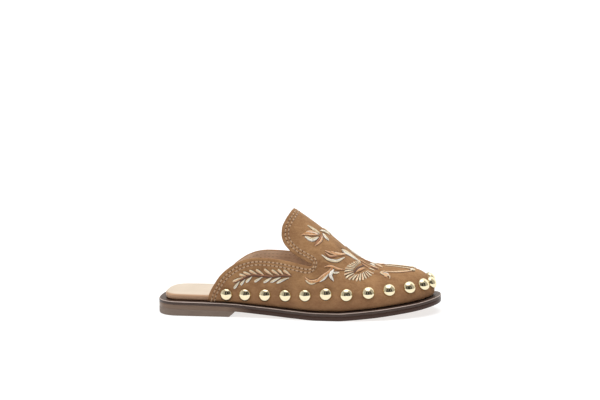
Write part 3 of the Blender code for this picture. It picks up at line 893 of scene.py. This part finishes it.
def footbed_finish():
    """Pale leather, smooth on top and tan down its edge."""
    made = Finish("footbed_leather", (0.8, 0.66, 0.53), 0.45)
    soft = made.noise(0.03, 3.0)
    grain = made.cells(0.0009)
    top = made.tone(soft, (0.63, 0.52, 0.40), (0.705, 0.595, 0.475))
    side = made.tone(soft, (0.44, 0.26, 0.15), (0.54, 0.33, 0.20))
    made.set(base_color=made.mix(made.mask(made.upward(), 0.62, 0.86), side, top))
    made.rough(soft, 0.38, 0.52)
    made.bump((grain, 0.0002, 0.18), (soft, 0.001, 0.1))
    made.set(coat_weight=0.08, coat_roughness=0.3)
    return made.made


def welt_finish():
    """Dark polished leather, with a painted highlight along its rounded edge."""
    made = Finish("welt_leather", (0.10, 0.06, 0.045), 0.5)
    soft = made.noise(0.006, 4.0, (0.4, 1, 1))
    grain = made.noise(0.0007, 3.0)
    dark = made.tone(soft, (0.042, 0.021, 0.015), (0.062, 0.034, 0.025))
    nap_and_edge_highlight = made.tone(soft, (0.42, 0.34, 0.30), (0.55, 0.45, 0.40))
    # Painted highlight: a pale band on the rounded top edge, where the edge would catch the overhead light
    edge = made.ramp(made.upward(), (0.40, BLACK), (0.62, WHITE), (0.93, WHITE), (0.99, BLACK))
    made.set(base_color=made.mix(edge, dark, nap_and_edge_highlight))
    made.bump((grain, 0.0001, 0.12))
    made.set(coat_weight=0.32, coat_roughness=0.07, specular_ior_level=0.25)
    return made.made


def sole_finish():
    """A dark burnished edge, taupe over the heel, with a plain leather underside."""
    made = Finish("sole_leather", (0.085, 0.05, 0.036), 0.4)
    streaks = made.noise(0.004, 3.0, (0.12, 0.12, 1.0))
    soft = made.noise(0.012, 3.0)
    edge = made.tone(streaks, (0.046, 0.021, 0.014), (0.058, 0.029, 0.020))
    heel = made.tone(streaks, (0.195, 0.128, 0.090), (0.220, 0.150, 0.108))
    along = made.math("SUBTRACT", made.axis(made.place, "X"), HEEL_TONE_START + float(OFFSET[0]))
    along = made.math("DIVIDE", along, HEEL_TONE_END - HEEL_TONE_START)
    edge = made.mix(made.mask(along, 0.0, 1.0), heel, edge)
    under = made.tone(soft, (0.30, 0.185, 0.11), (0.40, 0.26, 0.165))
    below = made.math("MULTIPLY", made.upward(), -1.0)
    made.set(base_color=made.mix(made.mask(below, 0.75, 0.95), edge, under))
    made.rough(soft, 0.30, 0.42)
    made.bump((streaks, 0.0002, 0.08))
    made.set(coat_weight=0.16, coat_roughness=0.15, specular_ior_level=0.2)
    return made.made


def heel_finish():
    made = Finish("heel_rubber", (0.15, 0.11, 0.085), 0.6)
    streaks = made.noise(0.002, 4.0, (0.15, 0.15, 1.5))
    speck = made.noise(0.0008, 2.0)
    made.set(base_color=made.tone(streaks, (0.180, 0.128, 0.098), (0.215, 0.158, 0.122)))
    made.bump((speck, 0.0002, 0.10), (streaks, 0.0002, 0.06))
    return made.made


def stud_finish():
    """Polished pale gold with a trace of handling marks."""
    made = Finish("stud_brass", (0.93, 0.83, 0.60), 0.1, 1.0)
    soft = made.noise(0.004, 3.0)
    made.rough(soft, 0.04, 0.10)
    made.set(base_color=made.tone(soft, (0.85, 0.74, 0.49), (0.88, 0.79, 0.56)))
    return made.made


def thread_finish(name, colour, roughness=0.42):
    """Twisted silky thread."""
    made = Finish(name, colour, roughness)
    soft = made.noise(0.0016, 2.0)
    twist = made.noise(0.00025, 2.0)
    darker = tuple(0.82 * part for part in colour)
    lighter = tuple(min(1.0, 1.08 * part) for part in colour)
    made.set(base_color=made.tone(soft, darker, lighter, 0.35))
    made.bump((twist, 0.0001, 0.3))
    made.set(sheen_weight=0.25, sheen_roughness=0.35)
    return made.made


# Sole, welt, heel and footbed


def ring_sides(count, level):
    """Faces between a ring of points and the next ring."""
    low, high = level * count, (level + 1) * count
    return [(low + i, low + (i + 1) % count, high + (i + 1) % count, high + i) for i in range(count)]


def sole_turns():
    """Even turns round the sole."""
    return np.linspace(-1, 1, SOLE_POINTS + 1)[:-1]


def layer(levels, turns, crown=0.0):
    """Points and faces of a closed sole layer from levels of inset and height, with a crowned top."""
    count = len(turns)
    across = SOLE_ACROSS
    points = []
    faces = []
    for inset, height in levels:
        ring = inset_outline(turns, inset)
        points.append(np.column_stack([ring, height(ring[:, 0])]))
    for level in range(len(levels) - 1):
        faces += ring_sides(count, level)
    total = len(levels) * count
    for level, up in ((0, False), (len(levels) - 1, True)):
        ring = points[level]
        half = (count - 1) // 2
        rows = []
        for i in range(1, half + 1):
            start, end = ring[i], ring[count - i]
            part = np.linspace(0, 1, across + 1)[1:-1, None]
            row = start + (end - start) * part
            ends = smooth_step(min(i, half - i) / (CROWN_END_SHARE * half))
            row[:, 2] += up * crown * ends * (1 - (2 * part[:, 0] - 1) ** 4) ** 2
            points.append(row)
            inner = range(total, total + across - 1)
            rows.append([level * count + i, *inner, level * count + count - i])
            total += across - 1
        made = []
        first = level * count
        for here, there in zip(rows, rows[1:]):
            made += [(here[j], there[j], there[j + 1], here[j + 1]) for j in range(across)]
        made += [(first, rows[0][j], rows[0][j + 1]) for j in range(across)]
        made += [(rows[-1][j], first + count // 2, rows[-1][j + 1]) for j in range(across)]
        faces += made if up else [tuple(reversed(face)) for face in made]
    return np.vstack(points), faces


def floor(x):
    """The floor's height, given at each x."""
    return np.zeros(np.shape(x))


def over(base, height):
    """What gives the height this far above a base at any x."""
    return lambda x: base(x) + height


def add_outsole():
    """The outsole, its lower edge bevelled ahead of the heel only."""
    turns = sole_turns()
    ahead = (outline(turns)[:, 0] - HEEL_BREAST) / HEEL_BREAST_LEAN
    bevel = SOLE_EDGE_BEVEL * (HEEL_BEVEL_SHARE + (1 - HEEL_BEVEL_SHARE) * smooth_step(ahead))
    top = OUTSOLE_THICKNESS - CLEARANCE
    levels = []
    for angle in np.linspace(0, math.pi / 2, 5):
        rise = SOLE_EDGE_BEVEL * (1 - math.cos(angle))
        levels.append((bevel * (1 - math.sin(angle)), over(underside, rise)))
    for inset, part in ((0, 0.4), (0, 0.7), (SEAM_INSET, 1)):
        levels.append((inset, over(underside, part * top)))
    piece("outsole_finished", *layer(levels, turns), [sole_finish()], "outsole", "sole_leather")


def add_welt():
    """The welt, drawn down onto the outsole, with a rounded top edge."""
    turns = sole_turns()
    foot = WELT_THICKNESS + WELT_DROP
    levels = [(SEAM_INSET, over(welt_top, -foot)), (0, over(welt_top, 2 * SEAM_INSET - foot))]
    levels.append((0, over(welt_top, -0.5 * WELT_THICKNESS)))
    for angle in np.linspace(0, math.pi / 2, 6):
        drop = WELT_EDGE_ROUND * (1 - math.sin(angle))
        levels.append((WELT_EDGE_ROUND * (1 - math.cos(angle)), over(welt_top, -drop)))
    piece("welt_finished", *layer(levels, turns), [welt_finish()], "welt", "welt_leather")


def add_footbed():
    """The footbed, narrower at its foot, with a wide round edge and a low crown."""
    turns = sole_turns()
    edge = ledge(turns) + UPPER_WALL + CLEARANCE
    radius = FOOTBED_EDGE_ROUND
    levels = [(edge + inset, over(welt_top, height)) for inset, height in FOOTBED_FOOT]
    for angle in np.linspace(0, math.pi / 2, 9):
        inset = edge + FOOTBED_EDGE_INSET * (1 - math.cos(angle))
        levels.append((inset, over(welt_top, FOOTBED_THICKNESS - radius * (1 - math.sin(angle)))))
    points, faces = layer(levels, turns, FOOTBED_CROWN)
    made = piece("footbed_padded", points, faces, [footbed_finish()], "footbed", "footbed_leather")


def add_heel():
    """The heel block: its front face leans forward up to the outsole."""
    half = HEEL_POINTS
    top = over(underside, -HEEL_GAP)
    levels = (
        (SOLE_EDGE_BEVEL, 0, over(floor, 0)),
        (0.3 * SOLE_EDGE_BEVEL, 0, over(floor, 0.3 * SOLE_EDGE_BEVEL)),
        (0, 0, over(floor, SOLE_EDGE_BEVEL)),
        (0, 0.5, lambda x: 0.5 * top(x)),
        (0, 1, top),
    )
    rings = []
    faces = []
    for inset, lean, height in levels:
        breast = HEEL_BREAST + lean * HEEL_BREAST_LEAN
        last_turn = 1 - math.acos(1 - 2 * breast / SOLE_LENGTH) / math.pi
        outer = np.linspace(-1, -last_turn, half + 1)
        inner = np.linspace(last_turn, 1, half + 1)[:-1]
        ring = inset_outline(np.concatenate([outer, inner]), inset)
        ring[half : half + 2, 0] = breast - inset
        rings.append(np.column_stack([ring, height(ring[:, 0])]))
    count = len(rings[0])
    for level in range(len(levels) - 1):
        faces += ring_sides(count, level)
    for first in (0, (len(levels) - 1) * count):
        cap = [(first, first + 1, first + count - 1)]
        for i in range(1, (count - 1) // 2):
            cap.append((first + i, first + i + 1, first + count - i - 1, first + count - i))
        faces += cap if first else [tuple(reversed(face)) for face in cap]
    points = np.vstack(rings)
    piece("heel_finished", points, faces, [heel_finish()], "heel", "heel_rubber", smooth=False)


# Upper


def rim_loop(turn, climb, closed=False):
    """Directions out of the sheet, in its surface, for an edge that keeps the sheet on its left."""
    line = upper_point(turn, climb)
    along = np.roll(line, -1, axis=0) - np.roll(line, 1, axis=0) if closed else np.gradient(line, axis=0)
    normal = upper_normal(turn, climb)
    return unit(np.cross(along, normal))


def upper_sheet():
    """Turns, climbs and triangles of the sheet, and its border's length, outward way and roundness."""
    outer_turn, outer_climb = topline(-1, TOPLINE_STEP)
    inner_turn, inner_climb = topline(1, TOPLINE_STEP)
    # The border runs along the foot from the outer quarter to the inner, then back over the topline
    foot_count = round(FOOT_LINE_LENGTH / UPPER_STEP)
    foot_turn = np.linspace(outer_turn[0], inner_turn[0], foot_count + 1)
    turn = np.concatenate([foot_turn, inner_turn[1:-1], outer_turn[:0:-1]])
    climb = np.concatenate([0 * foot_turn, inner_climb[1:-1], outer_climb[:0:-1]])
    outward = rim_loop(turn, climb, closed=True)
    standing = np.zeros(len(turn))
    standing[foot_count + 1 :] = RIM_ROUND
    moved_turn, moved_climb = step_over(turn, climb, -outward * standing[:, None])
    moved_climb[: foot_count + 1] = 0
    border_turn = np.where(moved_climb > 1, -moved_turn, moved_turn)
    border = spread(border_turn, np.minimum(moved_climb, 2 - moved_climb))
    border_points = upper_point(moved_turn, moved_climb)

    # Points of the sheet inside its border, and clear of the topline
    rows = np.concatenate([UPPER_LOW_ROWS, np.linspace(UPPER_ROWS_START, 1, UPPER_ROWS)])
    grid = np.stack(np.meshgrid(foot_turn[1:-1], rows, indexing="ij")).reshape(2, -1)
    grid = grid[:, (grid[1] < 1) | (grid[0] <= 1e-9)]
    grid = grid[:, inside(spread(*grid), border)]
    grid = grid[:, nearest(upper_point(*grid), border_points[foot_count:]) > 0.5 * TOPLINE_STEP]
    first = len(border)
    everything = np.vstack([border, spread(*grid)])
    edges = [(index, (index + 1) % first) for index in range(first)]
    made = delaunay_2d_cdt([Vector(p) for p in everything], edges, [list(range(first))], 1, 1e-8)
    source = [origins[0] for origins in made[3]]
    faces = np.array([[source[corner] for corner in face] for face in made[2]])
    turn, climb = np.hstack([[moved_turn, moved_climb], grid])
    return turn, climb, faces, first, outward, standing


def add_upper(suede, lining):
    """The upper: napped outer sheet, lining one wall further in, and a rounded cut edge between them."""
    turn, climb, faces, border, outward, standing = upper_sheet()
    outer = upper_point(turn, climb)
    normal = upper_normal(turn, climb)
    above = outer[:, 2] - welt_top(outer[:, 0])
    a, b, c = outer[faces[0]]
    if np.dot(np.cross(b - a, c - a), normal[faces[0][0]]) < 0:
        faces = faces[:, ::-1]
    tuck = TUCK_DEPTH * np.clip(1 - above / TUCK_HEIGHT, 0, 1) ** 2
    wall = UPPER_WALL - tuck
    outer = outer - normal * tuck[:, None]
    inner = outer - normal * wall[:, None]
    count = len(outer)
    points = [outer, inner]
    everything = [tuple(face) for face in faces]
    everything += [tuple(int(count + corner) for corner in reversed(face)) for face in faces]
    marks = [0] * len(faces) + [1] * len(faces)
    rings = [np.arange(border)]
    total = 2 * count
    edge_normal = normal[:border]
    middle = (outer[:border] + inner[:border]) / 2
    half_wall = wall[:border, None] / 2
    for angle in np.linspace(0, math.pi, 6)[1:-1]:
        across = edge_normal * half_wall * math.cos(angle)
        points.append(middle + across + outward * standing[:, None] * math.sin(angle))
        rings.append(np.arange(total, total + border))
        total += border
    rings.append(np.arange(count, count + border))
    for upper_ring, lower_ring in zip(rings, rings[1:]):
        for index in range(border):
            after = (index + 1) % border
            everything.append((upper_ring[after], upper_ring[index], lower_ring[index], lower_ring[after]))
            marks.append(0)
    piece("upper_suede", np.vstack(points), everything, [suede, lining], "upper", "suede", marks)


def stud_places():
    """Turns and climbs of the stud centres, evenly spaced along the stud line."""
    lowest = STUD_DIAMETER / 2 + STUD_LIFT
    share, of_quarter, _ = np.transpose(TOPLINE[:4])
    start = np.interp(lowest, of_quarter * QUARTER_HEIGHT, share)
    turns = np.linspace(turn_at(start, -1), turn_at(start, 1), 400)
    share = inset_outline(turns, ledge(turns))[:, 0] / SOLE_LENGTH
    height = lowest + STUD_RISE * curve_through(*np.transpose(STUD_LINE), share)
    line = upper_point(turns, climb_at(turns, height))
    travel = travelled(line)
    at = np.linspace(STUD_END_DISTANCE, travel[-1] - STUD_END_DISTANCE, STUD_COUNT)
    up = np.interp(at, travel, height)
    for number, along, upwards in STRAY_STUDS:
        at[number - 1] += along * STUD_DIAMETER
        up[number - 1] += upwards * STUD_RISE
    turn = np.interp(at, travel, turns)
    return turn, climb_at(turn, up)


def add_studs(finish):
    """Polished domes, each with its skirt following the suede beneath it."""
    for index, (turn, climb) in enumerate(zip(*stud_places())):
        turn, climb = np.array([turn]), np.array([climb])
        centre = upper_point(turn, climb)[0]
        normal = upper_normal(turn, climb)[0]
        rotation = np.array(Vector(normal).to_track_quat("Z", "Y").to_matrix())
        angle = around(STUD_SIDES)
        radius = STUD_DIAMETER / 2 + STUD_SKIRT
        flat = np.column_stack([np.cos(angle), np.sin(angle), 0 * angle])
        reach = flat @ rotation.T * radius
        seat = step_over(np.repeat(turn, STUD_SIDES), np.repeat(climb, STUD_SIDES), reach)
        seat = ((upper_point(*seat) - centre) @ rotation)[:, 2:]
        raised = np.array([0.0, 0.0, 1.0])
        rings = [flat * (radius - inset) + raised * (seat + height) for inset, height in STUD_FOOT]
        for ring in range(1, STUD_RINGS):
            angle = math.pi / 2 * ring / STUD_RINGS
            level = CLEARANCE + STUD_HEIGHT * math.sin(angle)
            if ring <= len(STUD_LOW_RINGS):
                level = np.maximum(seat + STUD_LOW_RINGS[ring - 1], level)
            rings.append(flat * radius * math.cos(angle) ** STUD_DOME_POWER + raised * level)
        points = np.vstack([*rings, [[0, 0, CLEARANCE + STUD_HEIGHT]]])
        faces = []
        for level in range(len(rings) - 1):
            faces += ring_sides(STUD_SIDES, level)
        top = (len(rings) - 1) * STUD_SIDES
        faces += [(top + i, top + (i + 1) % STUD_SIDES, len(points) - 1) for i in range(STUD_SIDES)]
        faces.append(tuple(range(STUD_SIDES - 1, -1, -1)))
        name = f"stud_{index + 1:02d}"
        piece(f"{name}_polished", points @ rotation.T + centre, faces, [finish], name, "stud_brass")


# Stitching and embroidery


def tubes(paths, radius):
    """Points and faces of closed tubes round paths, an array of lines with equal counts of points."""
    sides = THREAD_SIDES
    lines, count, _ = paths.shape
    along = unit(np.gradient(paths, axis=1))
    aside = unit(np.cross(along, [0.31, 0.23, 0.92]))
    upright = np.cross(aside, along)
    angle = around(sides)
    ring = aside[:, :, None] * np.cos(angle)[:, None] + upright[:, :, None] * np.sin(angle)[:, None]
    points = (paths[:, :, None] + ring * radius).reshape(-1, 3)
    start = np.arange(lines)[:, None, None] * count * sides
    level = np.arange(count - 1)[None, :, None] * sides
    here = np.arange(sides)[None, None, :]
    after = (here + 1) % sides
    low = start + level
    quads = np.stack([low + here, low + sides + here, low + sides + after, low + after], axis=-1)
    faces = quads.reshape(-1, 4).tolist()
    for line in range(lines):
        first = line * count * sides
        last = first + (count - 1) * sides
        faces.append(list(range(first, first + sides)))
        faces.append(list(range(last + sides - 1, last - 1, -1)))
    return points, faces


def smooth_places(places, count):
    """Evenly spaced places on a smooth line through a few places."""
    places = np.asarray(places, float)
    travel = travelled(upper_point(*places.T))
    tangent = np.gradient(places, travel, axis=0)
    fine = np.linspace(0, travel[-1], 24 * len(places))
    row = np.clip(np.searchsorted(travel, fine) - 1, 0, len(travel) - 2)
    step = (travel[row + 1] - travel[row])[:, None]
    part = (fine - travel[row])[:, None] / step
    line = between(step, part, places[row], places[row + 1], tangent[row], tangent[row + 1])
    travel = travelled(upper_point(*line.T))
    return *places_at(np.linspace(0, travel[-1], count), travel, *line.T), travel[-1]


def stroke_shape(shape, part):
    """Width along a stroke as a share of its full width."""
    if shape == "line":
        return np.clip(np.sin(math.pi * part) * 2.2, 0, 1) ** 0.5
    if shape == "ray":
        return np.sqrt(np.clip(6 * part, 0, 1) * np.clip(8 * (1 - part), 0, 1)) * (0.35 + 0.65 * part)
    lean, fullness = STROKE_SHAPES[shape]
    return np.sin(math.pi * part**lean).clip(0) ** fullness


class Gathered:
    """Closed shapes gathered into one piece, each with the number of its material."""

    def __init__(self):
        self.points = []
        self.faces = []
        self.marks = []
        self.total = 0

    def add(self, points, faces, mark=0):
        self.faces += [[corner + self.total for corner in face] for face in faces]
        self.marks += [mark] * len(faces)
        self.points.append(points)
        self.total += len(points)

    def as_piece(self, name, finishes, slot):
        piece(name, np.vstack(self.points), self.faces, finishes, slot=slot, marks=self.marks)


def lifted(turn, climb, lift):
    """Points lifted off the outside of the upper."""
    return upper_point(turn, climb) + upper_normal(turn, climb) * np.reshape(lift, (-1, 1))


def add_painted_edge_shade(work, turn, climb, across, half):
    """Painted shade: a dark tube down each edge of a stroke, half sunk in the nap."""
    picked = np.unique(np.linspace(0, len(turn) - 1, EDGE_SHADE_POINTS).round().astype(int))
    for side in (1, -1):
        reach = (across * side * (half + EDGE_SHADE_SPREAD))[picked]
        edge = step_over(turn[picked], climb[picked], reach)
        work.add(*tubes(lifted(*edge, EDGE_SHADE_LIFT)[None], EDGE_SHADE_RADIUS), THREADS.index("shade"))


def add_stroke(work, colours, width, shape, places):
    """One satin stroke: slanted threads from its vein out to each edge, over a padded middle."""
    turn, climb, length = smooth_places(places, STROKE_POINTS)
    count = max(5, round(length / THREAD_PITCH))
    at = (np.arange(count) + 0.5) / count
    turn, climb = places_at(at, np.linspace(0, 1, STROKE_POINTS), turn, climb)
    along = unit(np.gradient(upper_point(turn, climb), axis=0))
    across = np.cross(upper_normal(turn, climb), along)
    half = np.maximum(width / 2 * stroke_shape(shape, at), THREAD_RADIUS)[:, None]
    # Painted shade along both edges of the stroke
    add_painted_edge_shade(work, turn, climb, across, half)
    split = colours[0] != colours[1]
    for side, colour in zip((1, -1) if split else (1,), colours):
        reach = (across * side + along * math.tan(SATIN_SLANT)) * half
        start = (turn, climb) if split else step_over(turn, climb, -reach)
        end = step_over(turn, climb, reach)
        share = np.linspace(0, 1, 5 if split else 7)
        path = [(low[:, None] + (high - low)[:, None] * share).ravel() for low, high in zip(start, end)]
        dome = np.minimum(SATIN_DOME, 0.5 * half) * 4 * share * (1 - share)
        edge = np.where((share == 0) | (share == 1), -0.8 * THREAD_RADIUS, 0)
        paths = lifted(*path, dome + THREAD_LIFT + edge)
        work.add(*tubes(paths.reshape(count, len(share), 3), THREAD_RADIUS), THREADS.index(colour))


def embroidery_strokes():
    """Every stroke of the outer side: colours, width, shape and places."""
    strokes = [((row[0], row[1]), row[2], row[3], row[4:]) for row in STROKES]
    strokes.append((("rust", "brown"), STEM_WIDTH, "line", BRANCH_STEM))
    sides = ((BRANCH_UPPER_LEAVES, ("peach", "cream")), (BRANCH_LOWER_LEAVES, ("white", "cream")))
    for leaves, colours in sides:
        for row in leaves:
            base, tip = np.array(row[:2]), np.array(row[2:])
            strokes.append((colours, LEAF_WIDTH, "petal", (base, (base + tip) / 2, tip)))
    inner = smooth_places(DAISY_INNER, DAISY_PETALS)
    outer = smooth_places(DAISY_OUTER, DAISY_PETALS)
    for number in range(DAISY_PETALS):
        start = np.array([axis[number] for axis in inner[:2]])
        end = np.array([axis[number] for axis in outer[:2]])
        colours = ("cream", "peach") if number % 2 else ("cream", "cream")
        strokes.append((colours, DAISY_PETAL_WIDTH, "ray", (start, (start + end) / 2, end)))
    return strokes


def add_embroidery():
    """The strokes of the outer side, and the same strokes mirrored on the inner side."""
    finishes = [thread_finish(f"thread_{name}", colour) for name, colour in THREAD_COLOURS.items()]
    strokes = embroidery_strokes()
    for name, side in (("embroidery_outer", 1), ("embroidery_inner", -1)):
        work = Gathered()
        for colours, width, shape, places in strokes:
            add_stroke(work, colours, width, shape, [(side * turn, climb) for turn, climb in places])
        work.as_piece(name, finishes, "thread")


def whole_topline():
    """Turns and climbs of the topline from the outer foot over the ridge to the inner foot."""
    outer_turn, outer_climb = topline(-1, STITCH_LINE_STEP)
    inner_turn, inner_climb = topline(1, STITCH_LINE_STEP)
    turn = np.concatenate([outer_turn, -inner_turn[-2::-1]])
    return turn, np.concatenate([outer_climb, 2 - inner_climb[-2::-1]])


def stitch_line(distance):
    """Places of a row this far in from the topline, with their travel."""
    turn, climb = whole_topline()
    edge = upper_point(turn, climb)
    inwards = -rim_loop(turn, climb)
    middle = len(turn) // 4
    probe = step_over(turn[[middle]], climb[[middle]], inwards[[middle]] * distance)
    if probe[1][0] > climb[middle]:
        inwards = -inwards
    place = (turn, climb)
    for _ in range(4):
        place = step_over(*place, inwards * distance / 4)
    line = upper_point(*place)
    kept = nearest(line, edge) > ROW_SPACING_SHARE * distance
    turn, climb = place[0][kept], place[1][kept]
    for _ in range(3):
        turn[1:-1] = (turn[:-2] + 2 * turn[1:-1] + turn[2:]) / 4
        climb[1:-1] = (climb[:-2] + 2 * climb[1:-1] + climb[2:]) / 4
    return turn, climb, travelled(upper_point(turn, climb))


def stitch_lift(radius):
    """Lift along a half-sunk stitch whose ends dip into the leather."""
    return -radius * (0.30 + 0.75 * np.abs(np.linspace(-1, 1, STITCH_STEPS)) ** 3)


def pinholes(turn, climb):
    """Points and faces of the dark lens of painted shade at each pinhole."""
    sides = PINHOLE_SIDES
    middle = lifted(turn, climb, PINHOLE_LIFT)
    normal = upper_normal(turn, climb)
    aside = unit(np.cross(normal, [0.3, 0.2, 0.93]))
    upright = np.cross(normal, aside)
    angle = around(sides)
    for index in range(len(turn)):
        ring = np.outer(np.cos(angle), aside[index]) + np.outer(np.sin(angle), upright[index])
        ring = middle[index] + PINHOLE_RADIUS * ring - normal[index] * PINHOLE_DOME
        faces = [(0, 1 + i, 1 + (i + 1) % sides) for i in range(sides)]
        yield np.vstack([middle[index], ring]), [*faces, tuple(range(sides, 0, -1))]


def add_stitching():
    """Two rows of stitches along the topline, outside and on the lining, with dark lenses of painted shade
    for the pinholes between them.
    """
    thread = Gathered()
    holes = Gathered()
    for distance, start in STITCH_ROWS:
        turn, climb, travel = stitch_line(distance)
        count = int(travel[-1] / STITCH_PITCH - 0.5)
        at = (np.arange(count) + start) * STITCH_PITCH
        along = (at[:, None] + np.linspace(-0.5, 0.5, STITCH_STEPS) * STITCH_LENGTH).ravel()
        place = places_at(along, travel, turn, climb)
        outside = stitch_lift(STITCH_RADIUS)
        lining = -UPPER_WALL - stitch_lift(LINING_STITCH_RADIUS)
        for mark, lift, radius in ((0, outside, STITCH_RADIUS), (1, lining, LINING_STITCH_RADIUS)):
            path = lifted(*place, np.tile(lift, count))
            thread.add(*tubes(path.reshape(count, STITCH_STEPS, 3), radius), mark)
        for points, faces in pinholes(*places_at(at - STITCH_PITCH / 2, travel, turn, climb)):
            holes.add(points, faces)
    stitch = thread_finish("thread_stitch", (0.52, 0.34, 0.205), 0.6)
    tonal = thread_finish("thread_lining", (0.44, 0.285, 0.185), 0.7)
    thread.as_piece("topline_stitches", [stitch, tonal], "thread")
    # Painted shade: the pinholes are dark lenses standing in for the shade in each hole
    hole = Finish("pinhole", (0.14, 0.072, 0.038), 0.95)
    holes.as_piece("topline_pinholes", [hole.made], "suede")


scene = bpy.context.scene
scene.view_settings.view_transform = "Standard"
suede = suede_finish()
lining = lining_finish()
add_outsole()
add_welt()
add_footbed()
add_heel()
add_upper(suede, lining)
add_studs(stud_finish())
add_stitching()
add_embroidery()


# Floor, light and camera

PIXELS_WIDE = 600
SENSOR_WIDTH = 0.036
CAMERA_DISTANCE = 1.4
CAMERA_AZIMUTH = 7.9
CAMERA_ELEVATION = 10.6
CAMERA_ROLL = -0.9
PIXELS_PER_METRE = 1080
# The photograph's place of the shoe's middle, 45 mm over the floor, from the middle of the picture
AIM_RIGHT = 297.7 - 300
AIM_DOWN = 262.7 - 200
AIM_HEIGHT = 0.045

# A pale table lit from below as well as above, so that it keeps only soft shadows
FLOOR_HALF_SIZE = 60.0
FLOOR_GREY = 0.36
FLOOR_GLOW = 0.72
WORLD_STRENGTH = 0.22
SUN_STRENGTH = 3.3
SUN_SPREAD = 70
SUN_DIRECTION = (0.10, 0.05, -1.0)

# Cards that only polished surfaces mirror: azimuths, elevations, distance and strength
CARD_COLOUR = (1.0, 0.97, 0.92)
CARD_HEIGHT = 0.02
CARDS = (
    ("card_soft", (-60, 105), (0, 62), 3.4, 0.47),
    ("card_dark", (-28, 64), (0, 46), 3.0, 0.05),
    ("card_toe", (118, 178), (0, 60), 2.3, 1.3),
    ("card_sides_and_back", (105, 300), (1, 80), 2.4, 0.68),
    ("card_top", (-60, 300), (62, 88), 2.2, 2.2),
    ("card_bar_left", (-6, 2), (10, 40), 2.0, 0.35),
    ("card_bar_right", (36, 44), (6, 34), 2.0, 0.35),
)


def staged(name, points, faces, material):
    """Something of the studio, outside the shoe."""
    mesh = bpy.data.meshes.new(name)
    mesh.from_pydata(points, [], faces)
    mesh.materials.append(material)
    made = bpy.data.objects.new(name, mesh)
    scene.collection.objects.link(made)
    return made


def direction(azimuth, elevation):
    """The way to an azimuth and elevation in degrees. Azimuth 0 is the outer side, 90 the toe."""
    azimuth, elevation = np.radians(azimuth), np.radians(elevation)
    flat = np.cos(elevation)
    return np.stack([flat * np.sin(azimuth), -flat * np.cos(azimuth), np.sin(elevation)], axis=-1)


def glowing(name, grey, roughness, reflection, colour, strength):
    """A plain surface that gives off light."""
    made = Finish(name, (grey, grey, grey), roughness)
    made.set(specular_ior_level=reflection, emission_color=colour, emission_strength=strength)
    return made.made


def add_floor():
    size = FLOOR_HALF_SIZE
    points = [(-size, -size, 0), (size, -size, 0), (size, size, 0), (-size, size, 0)]
    staged("floor", points, [(0, 1, 2, 3)], glowing("floor", FLOOR_GREY, 0.8, 0.1, WHITE, FLOOR_GLOW))


def add_card(name, azimuths, elevations, distance, strength):
    """A curved card round the shoe that only polished surfaces mirror."""
    wide, high = 25, 13
    azimuth, elevation = np.meshgrid(np.linspace(*azimuths, wide), np.linspace(*elevations, high))
    middle = np.array([OFFSET[0] + SOLE_LENGTH / 2, OFFSET[1], CARD_HEIGHT])
    points = (middle + distance * direction(azimuth, elevation)).reshape(-1, 3).tolist()
    starts = [row * wide + column for row in range(high - 1) for column in range(wide - 1)]
    faces = [(first, first + 1, first + wide + 1, first + wide) for first in starts]
    made = staged(name, points, faces, glowing(name, 0, 0.5, 0.0, CARD_COLOUR, strength))
    made.visible_camera = False
    made.visible_diffuse = False
    made.visible_transmission = False
    made.visible_shadow = False


def add_lights():
    """Soft light from overhead, with cards for the polished studs and sole edge to mirror."""
    world = bpy.data.worlds.new("studio")
    world.use_nodes = True
    world.node_tree.nodes["Background"].inputs["Color"].default_value = (1, 1, 1, 1)
    world.node_tree.nodes["Background"].inputs["Strength"].default_value = WORLD_STRENGTH
    scene.world = world
    light = bpy.data.lights.new("overhead", "SUN")
    light.energy = SUN_STRENGTH
    light.angle = math.radians(SUN_SPREAD)
    made = bpy.data.objects.new("overhead", light)
    made.rotation_euler = Vector(SUN_DIRECTION).to_track_quat("-Z", "Y").to_euler()
    made.visible_glossy = False
    scene.collection.objects.link(made)
    for row in CARDS:
        add_card(*row)


def add_camera():
    """The camera sees the shoe at the photograph's angle and place, with a slight roll."""
    back = Vector(direction(CAMERA_AZIMUTH, CAMERA_ELEVATION))
    centre = Vector((OFFSET[0] + SOLE_LENGTH / 2, OFFSET[1], AIM_HEIGHT))
    focal = PIXELS_PER_METRE * CAMERA_DISTANCE
    forward = -back
    for _ in range(8):
        right = forward.cross(Vector((0, 0, 1))).normalized()
        up = right.cross(forward)
        seen = (forward + right * (AIM_RIGHT / focal) - up * (AIM_DOWN / focal)).normalized()
        forward = (forward - back - seen).normalized()
    right = forward.cross(Vector((0, 0, 1))).normalized()
    turned = Matrix((right, right.cross(forward), -forward)).transposed()
    turned = turned @ Matrix.Rotation(math.radians(CAMERA_ROLL), 3, "Z")
    data = bpy.data.cameras.new("camera")
    data.sensor_width = 1000 * SENSOR_WIDTH
    data.lens = 1000 * SENSOR_WIDTH * focal / PIXELS_WIDE
    data.clip_end = 200
    made = bpy.data.objects.new("camera", data)
    made.matrix_world = Matrix.Translation(centre + back * CAMERA_DISTANCE) @ turned.to_4x4()
    scene.collection.objects.link(made)
    scene.camera = made


add_floor()
add_lights()
add_camera()
